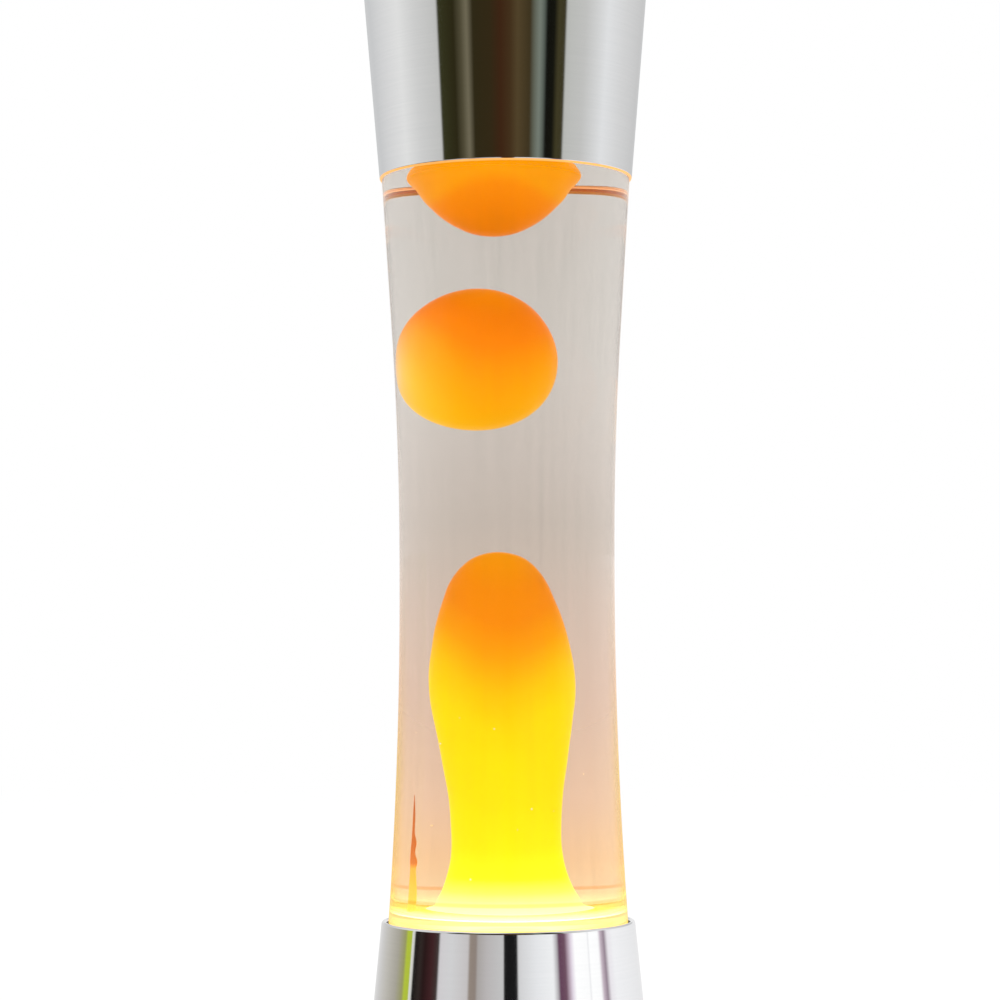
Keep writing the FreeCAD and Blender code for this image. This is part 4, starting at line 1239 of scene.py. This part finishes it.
BUBBLE_COUNT = 30
BUBBLES_LOW = 114.0
BUBBLES_HIGH = 206.0
BUBBLE_TURN = 2.4
BUBBLE_GAP = 0.9
BUBBLE_R = 0.14


def bubble(where, radius):
    """A small round bubble of air."""
    ball = bmesh.new()
    bmesh.ops.create_uvsphere(ball, u_segments=16, v_segments=10, radius=radius * MM)
    return moved(ball, where)


bubbles = []
for i in range(BUBBLE_COUNT):
    spread = [noise.noise(Vector((i * 1.7 + 0.3, k * 5.1, 0.5))) + 0.5 for k in range(3)]
    height = BUBBLES_LOW + (BUBBLES_HIGH - BUBBLES_LOW) * min(1.0, max(0.0, spread[0])) ** 1.4
    bearing = i * BUBBLE_TURN
    reach = bottle_r(height) - GLASS - BUBBLE_GAP
    size = BUBBLE_R + BUBBLE_R * min(1.0, max(0.0, spread[1]))
    bubbles.append(bubble((reach * math.cos(bearing), reach * math.sin(bearing), height), size))
piece("air_bubbles", joined(bubbles), "bottle", air)


# --- the bulb -------------------------------------------------------------------------

BULB_FACE_R = 33.5
BULB_FACE_Z = 50.5
BULB_GLASS = 0.5
BULB_SHOULDER_AT = (13.5, 74.6)
BULB_SHOULDER_R = 6.0

bulb_profile = (
    [(0, BULB_FACE_Z + BULB_FACE_R)]
    + [
        (r, BULB_FACE_Z + math.sqrt(BULB_FACE_R**2 - r**2))
        for r in (2, 4, 6, 8, 10, 12, 14, 15.5)
    ]
    + arc(BULB_SHOULDER_AT, BULB_SHOULDER_R, 55, -12, 10)
    + run((18.6, 71.0), (7.6, 47.2), 14)
    + [(7.4, 46.0), (7.4, 38.3)]
    + [(6.9, 38.3), (6.9, 46.1)]
    + run((7.1, 47.4), (18.1, 71.2), 14)
    + arc(BULB_SHOULDER_AT, BULB_SHOULDER_R - BULB_GLASS, -12, 55, 10)
    + [
        (r, BULB_FACE_Z + math.sqrt((BULB_FACE_R - BULB_GLASS) ** 2 - r**2))
        for r in (15, 12, 9, 6, 3)
    ]
    + [(0, BULB_FACE_Z + BULB_FACE_R - BULB_GLASS)]
)
piece(
    "reflector_bulb",
    lathe(bulb_profile, closed=False, turns=96),
    "bulb",
    bulb_glass,
    ["bulb_envelope"],
)

THREAD_PITCH = 3.6
THREAD_LOW = 22.0
THREAD_HIGH = 36.5
THREAD_RUNOUT = 1.5
THREAD_DEPTH = 0.22
THREAD_CORE_R = 6.5


def thread(radius, height, angle):
    """A rolled screw thread that climbs one pitch for each turn."""
    if not THREAD_LOW <= height <= THREAD_HIGH or radius < THREAD_CORE_R:
        return radius
    fade = min(1.0, (height - THREAD_LOW) / THREAD_RUNOUT, (THREAD_HIGH - height) / THREAD_RUNOUT)
    wave = math.cos(2 * math.pi * height / THREAD_PITCH - angle)
    return radius - THREAD_DEPTH * fade * (1 - wave)


screw_profile = (
    [(6.2, 21.4)]
    + [(6.8, 21.4)]
    + run((6.93, 21.8), (6.93, 37.2), 70)
    + [(7.4, 37.8), (7.95, 38.5), (7.95, 40.3)]
    + [(7.6, 40.3), (7.6, 38.7), (7.1, 38.1), (6.45, 37.3)]
    + run((6.45, 36.6), (6.45, 21.8), 6)
)
piece(
    "threaded_cap",
    lathe(screw_profile, turns=96, flute=thread),
    "bulb",
    nickel,
    ["bulb_screw_cap"],
)


# --- CAD solids that keep their own shape ---------------------------------------------

FINISHES = {
    "spun_aluminium": polished,
    "seat_aluminium": brushed,
    "plate_steel": plate_steel,
    "bracket_steel": bracket_steel,
    "fastener_steel": fastener_steel,
    "brass": brass,
    "phenolic": phenolic,
    "foot_rubber": foot_rubber,
    "grommet_rubber": grommet_rubber,
    "bulb_glass": bulb_glass,
    "bulb_cap_metal": nickel,
    "bulb_insulator_glass": black_glass,
    "solder": solder,
    "filament_metal": filament,
    "bottle_glass": bottle_glass,
    "lamp_liquid": lamp_liquid,
    "wax_orange": floating_wax,
    "wax_yellow": column_wax,
    "coil_steel": coil_steel,
    "crown_tinplate": tinplate,
    "liner_plastic": liner,
    "collar_plastic": collar,
}
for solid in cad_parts.values():
    for held in solid.material_slots:
        if held.material is not None:
            held.material = FINISHES.get(held.material.name.split(".")[0], held.material)


# --- studio ---------------------------------------------------------------------------


def stage_object(name, bm, material):
    """The mesh as part of the studio, which isn't part of the lamp."""
    mesh = bpy.data.meshes.new(name)
    bm.to_mesh(mesh)
    bm.free()
    mesh.shade_smooth()
    mesh.materials.append(material)
    obj = bpy.data.objects.new(name, mesh)
    SCENE.collection.objects.link(obj)
    return obj


floor_material, tree, output, place = new_material("studio_floor")
speck = grain(tree, place, EVEN, 60)
shader = node(
    tree,
    "BsdfDiffuse",
    {"Color": ramp(tree, speck, [(0.3, (0.985, 0.985, 0.985, 1)), (0.7, (1, 1, 1, 1))])},
)
tree.links.new(shader.outputs["BSDF"], output.inputs["Surface"])
FLOOR_R = 3000.0
stage_object("studio_floor", lathe([(0, 0), (FLOOR_R, 0)], closed=False, turns=96), floor_material)

CARD_R = 700.0
CARD_STEP = 4
ROOM_SEAM = 235.0
ROOM_TOP = 900.0
CEILING_HIGH = 1500.0
CEILING_HOLE_R = 5.0
TABLE_LOW = 0.6
TABLE_HIGH = 1.0
TABLE_HOLE_R = 49.0
# share of light left at the table ring's edge next to the lamp: painted shade of the lamp's own shadow,
# seen in the polish
TABLE_SHADE = 0.5
# how much of the light that falls on the polish comes back
METAL_SHARE = 0.9
# bearing in degrees from the front toward the right, and the room's display colour there
LOWER_ROOM = [
    (-180, (226, 226, 226)),
    (-150, (204, 203, 202)),
    (-130, (188, 185, 178)),
    (-112, (166, 162, 150)),
    (-102, (150, 150, 100)),
    (-99, (176, 192, 62)),
    (-93.5, (170, 186, 60)),
    (-93, (218, 218, 210)),
    (-90.5, (205, 205, 200)),
    (-89, (20, 18, 18)),
    (-82, (48, 40, 38)),
    (-77, (40, 24, 24)),
    (-69, (62, 34, 36)),
    (-63, (60, 50, 48)),
    (-61, (206, 203, 205)),
    (-50, (207, 207, 208)),
    (-35, (196, 192, 192)),
    (-33, (144, 132, 122)),
    (-28, (140, 128, 120)),
    (-26, (168, 163, 160)),
    (-18, (184, 180, 180)),
    (-4.5, (194, 194, 194)),
    (-3.5, (20, 20, 20)),
    (7, (24, 24, 26)),
    (8.5, (208, 208, 209)),
    (24, (228, 229, 231)),
    (38, (238, 239, 240)),
    (42, (176, 172, 176)),
    (44, (98, 64, 86)),
    (49.5, (110, 80, 96)),
    (52.5, (180, 160, 174)),
    (55.5, (226, 216, 228)),
    (59, (255, 255, 255)),
    (72, (252, 252, 252)),
    (73, (232, 232, 234)),
    (74.5, (255, 255, 255)),
    (84.5, (252, 252, 252)),
    (87.5, (196, 180, 192)),
    (92, (146, 130, 142)),
    (96.5, (232, 228, 233)),
    (104, (240, 240, 242)),
    (150, (228, 228, 229)),
    (180, (226, 226, 226)),
]
UPPER_ROOM = [
    (-180, (197, 198, 199)),
    (-146, (196, 197, 198)),
    (-116, (213, 213, 213)),
    (-97, (222, 222, 221)),
    (-78, (204, 204, 203)),
    (-57, (190, 190, 188)),
    (-55, (52, 52, 30)),
    (-42, (42, 38, 20)),
    (-36, (78, 73, 54)),
    (-31, (110, 104, 84)),
    (-26, (46, 40, 22)),
    (-12, (50, 40, 22)),
    (-4, (60, 36, 20)),
    (4, (66, 48, 28)),
    (10, (80, 66, 42)),
    (20, (60, 50, 30)),
    (24, (96, 100, 88)),
    (28, (116, 124, 114)),
    (31, (92, 100, 92)),
    (34, (16, 16, 12)),
    (40, (20, 20, 14)),
    (44, (62, 58, 36)),
    (49, (56, 52, 32)),
    (51, (184, 185, 181)),
    (68, (192, 192, 190)),
    (92, (222, 223, 224)),
    (116, (209, 209, 209)),
    (152, (194, 194, 194)),
    (180, (197, 198, 199)),
]
CEILING = [
    (-180, (150, 152, 156)),
    (-100, (214, 215, 218)),
    (-40, (238, 239, 240)),
    (20, (128, 130, 134)),
    (90, (206, 207, 210)),
    (140, (232, 232, 233)),
    (180, (150, 152, 156)),
]


def room_wall(name, stops, low, high, low_r=CARD_R, low_shade=1.0):
    """A ring of the room round the lamp that only polished surfaces see."""
    material, tree, output, _ = new_material(name)
    tone = node(tree, "VertexColor", layer_name="tone").outputs["Color"]
    shader = node(tree, "Emission", {"Color": tone, "Strength": 1.0})
    tree.links.new(shader.outputs["Emission"], output.inputs["Surface"])
    bm = bmesh.new()
    layer = bm.loops.layers.float_color.new("tone")
    for (a, tone_a), (b, tone_b) in zip(stops, stops[1:]):
        steps = max(1, math.ceil((b - a) / CARD_STEP))
        for step in range(steps):
            shares = (step / steps, (step + 1) / steps)
            corners = []
            for share in shares:
                bearing = math.radians(a + (b - a) * share)
                colour = [
                    p + (q - p) * share for p, q in zip(linear(*tone_a), linear(*tone_b))
                ]
                corners.append((math.sin(bearing) * MM, -math.cos(bearing) * MM, colour))
            (x0, y0, c0), (x1, y1, c1) = corners
            # the ring's low edge darkened by low_shade: painted shade
            foot0, foot1 = ([c * low_shade for c in shade] for shade in (c0, c1))
            spots = [
                (x0 * low_r, y0 * low_r, low, foot0),
                (x1 * low_r, y1 * low_r, low, foot1),
                (x1 * CARD_R, y1 * CARD_R, high, c1),
                (x0 * CARD_R, y0 * CARD_R, high, c0),
            ]
            face = bm.faces.new([bm.verts.new((x, y, z * MM)) for x, y, z, _ in spots])
            for loop, (_, _, _, colour) in zip(face.loops, spots):
                loop[layer] = [c / METAL_SHARE for c in colour[:3]] + [1.0]
    wall_object = stage_object(name, bm, material)
    wall_object.visible_camera = False
    wall_object.visible_diffuse = False
    wall_object.visible_transmission = False
    wall_object.visible_volume_scatter = False
    wall_object.visible_shadow = False


room_wall("room_floor", LOWER_ROOM, TABLE_LOW, TABLE_HIGH, TABLE_HOLE_R, TABLE_SHADE)
room_wall("room_low", LOWER_ROOM, TABLE_HIGH, ROOM_SEAM)
room_wall("room_high", UPPER_ROOM, ROOM_SEAM, ROOM_TOP)
room_wall("room_ceiling", CEILING, CEILING_HIGH, ROOM_TOP, CEILING_HOLE_R)

world = bpy.data.worlds.new("studio")
world.use_nodes = True
world.node_tree.nodes["Background"].inputs["Color"].default_value = (1, 1, 1, 1)
world.node_tree.nodes["Background"].inputs["Strength"].default_value = 1.0
SCENE.world = world

SOFT_SIZE = 1600.0
SOFT_POWER = 4.0
SOFT_AT = (200.0, -500.0, 1800.0)
SOFT_AIM = (0.0, 0.0, 200.0)
soft = bpy.data.lights.new("soft_overhead", "AREA")
soft.shape = "DISK"
soft.size = SOFT_SIZE * MM
soft.energy = SOFT_POWER
soft_light = bpy.data.objects.new("soft_overhead", soft)
soft_light.location = Vector(SOFT_AT) * MM
soft_way = Vector(SOFT_AIM) * MM - soft_light.location
soft_light.rotation_euler = soft_way.to_track_quat("-Z", "Y").to_euler()
soft_light.visible_glossy = False
soft_light.visible_transmission = False
SCENE.collection.objects.link(soft_light)

SCENE.view_settings.view_transform = "Standard"

CAMERA_AWAY = 880.0
CAMERA_HIGH = 187.6
CAMERA_TILT = 2.85
AIM_LEFT = 2.05
CAMERA_ROLL = -0.2
CAMERA_LENS = 105.6
lens = bpy.data.cameras.new("camera")
lens.lens = CAMERA_LENS
lens.sensor_width = 36.0
lens.clip_start = 0.01
camera = bpy.data.objects.new("camera", lens)
camera.location = Vector((0, -CAMERA_AWAY, CAMERA_HIGH)) * MM
aim_high = CAMERA_HIGH + CAMERA_AWAY * math.tan(math.radians(CAMERA_TILT))
target = Vector((-AIM_LEFT, 0, aim_high)) * MM
aim = (target - camera.location).to_track_quat("-Z", "Y").to_matrix()
roll = Matrix.Rotation(math.radians(CAMERA_ROLL), 3, "Z")
camera.rotation_euler = (aim @ roll).to_euler()
SCENE.collection.objects.link(camera)
SCENE.camera = camera
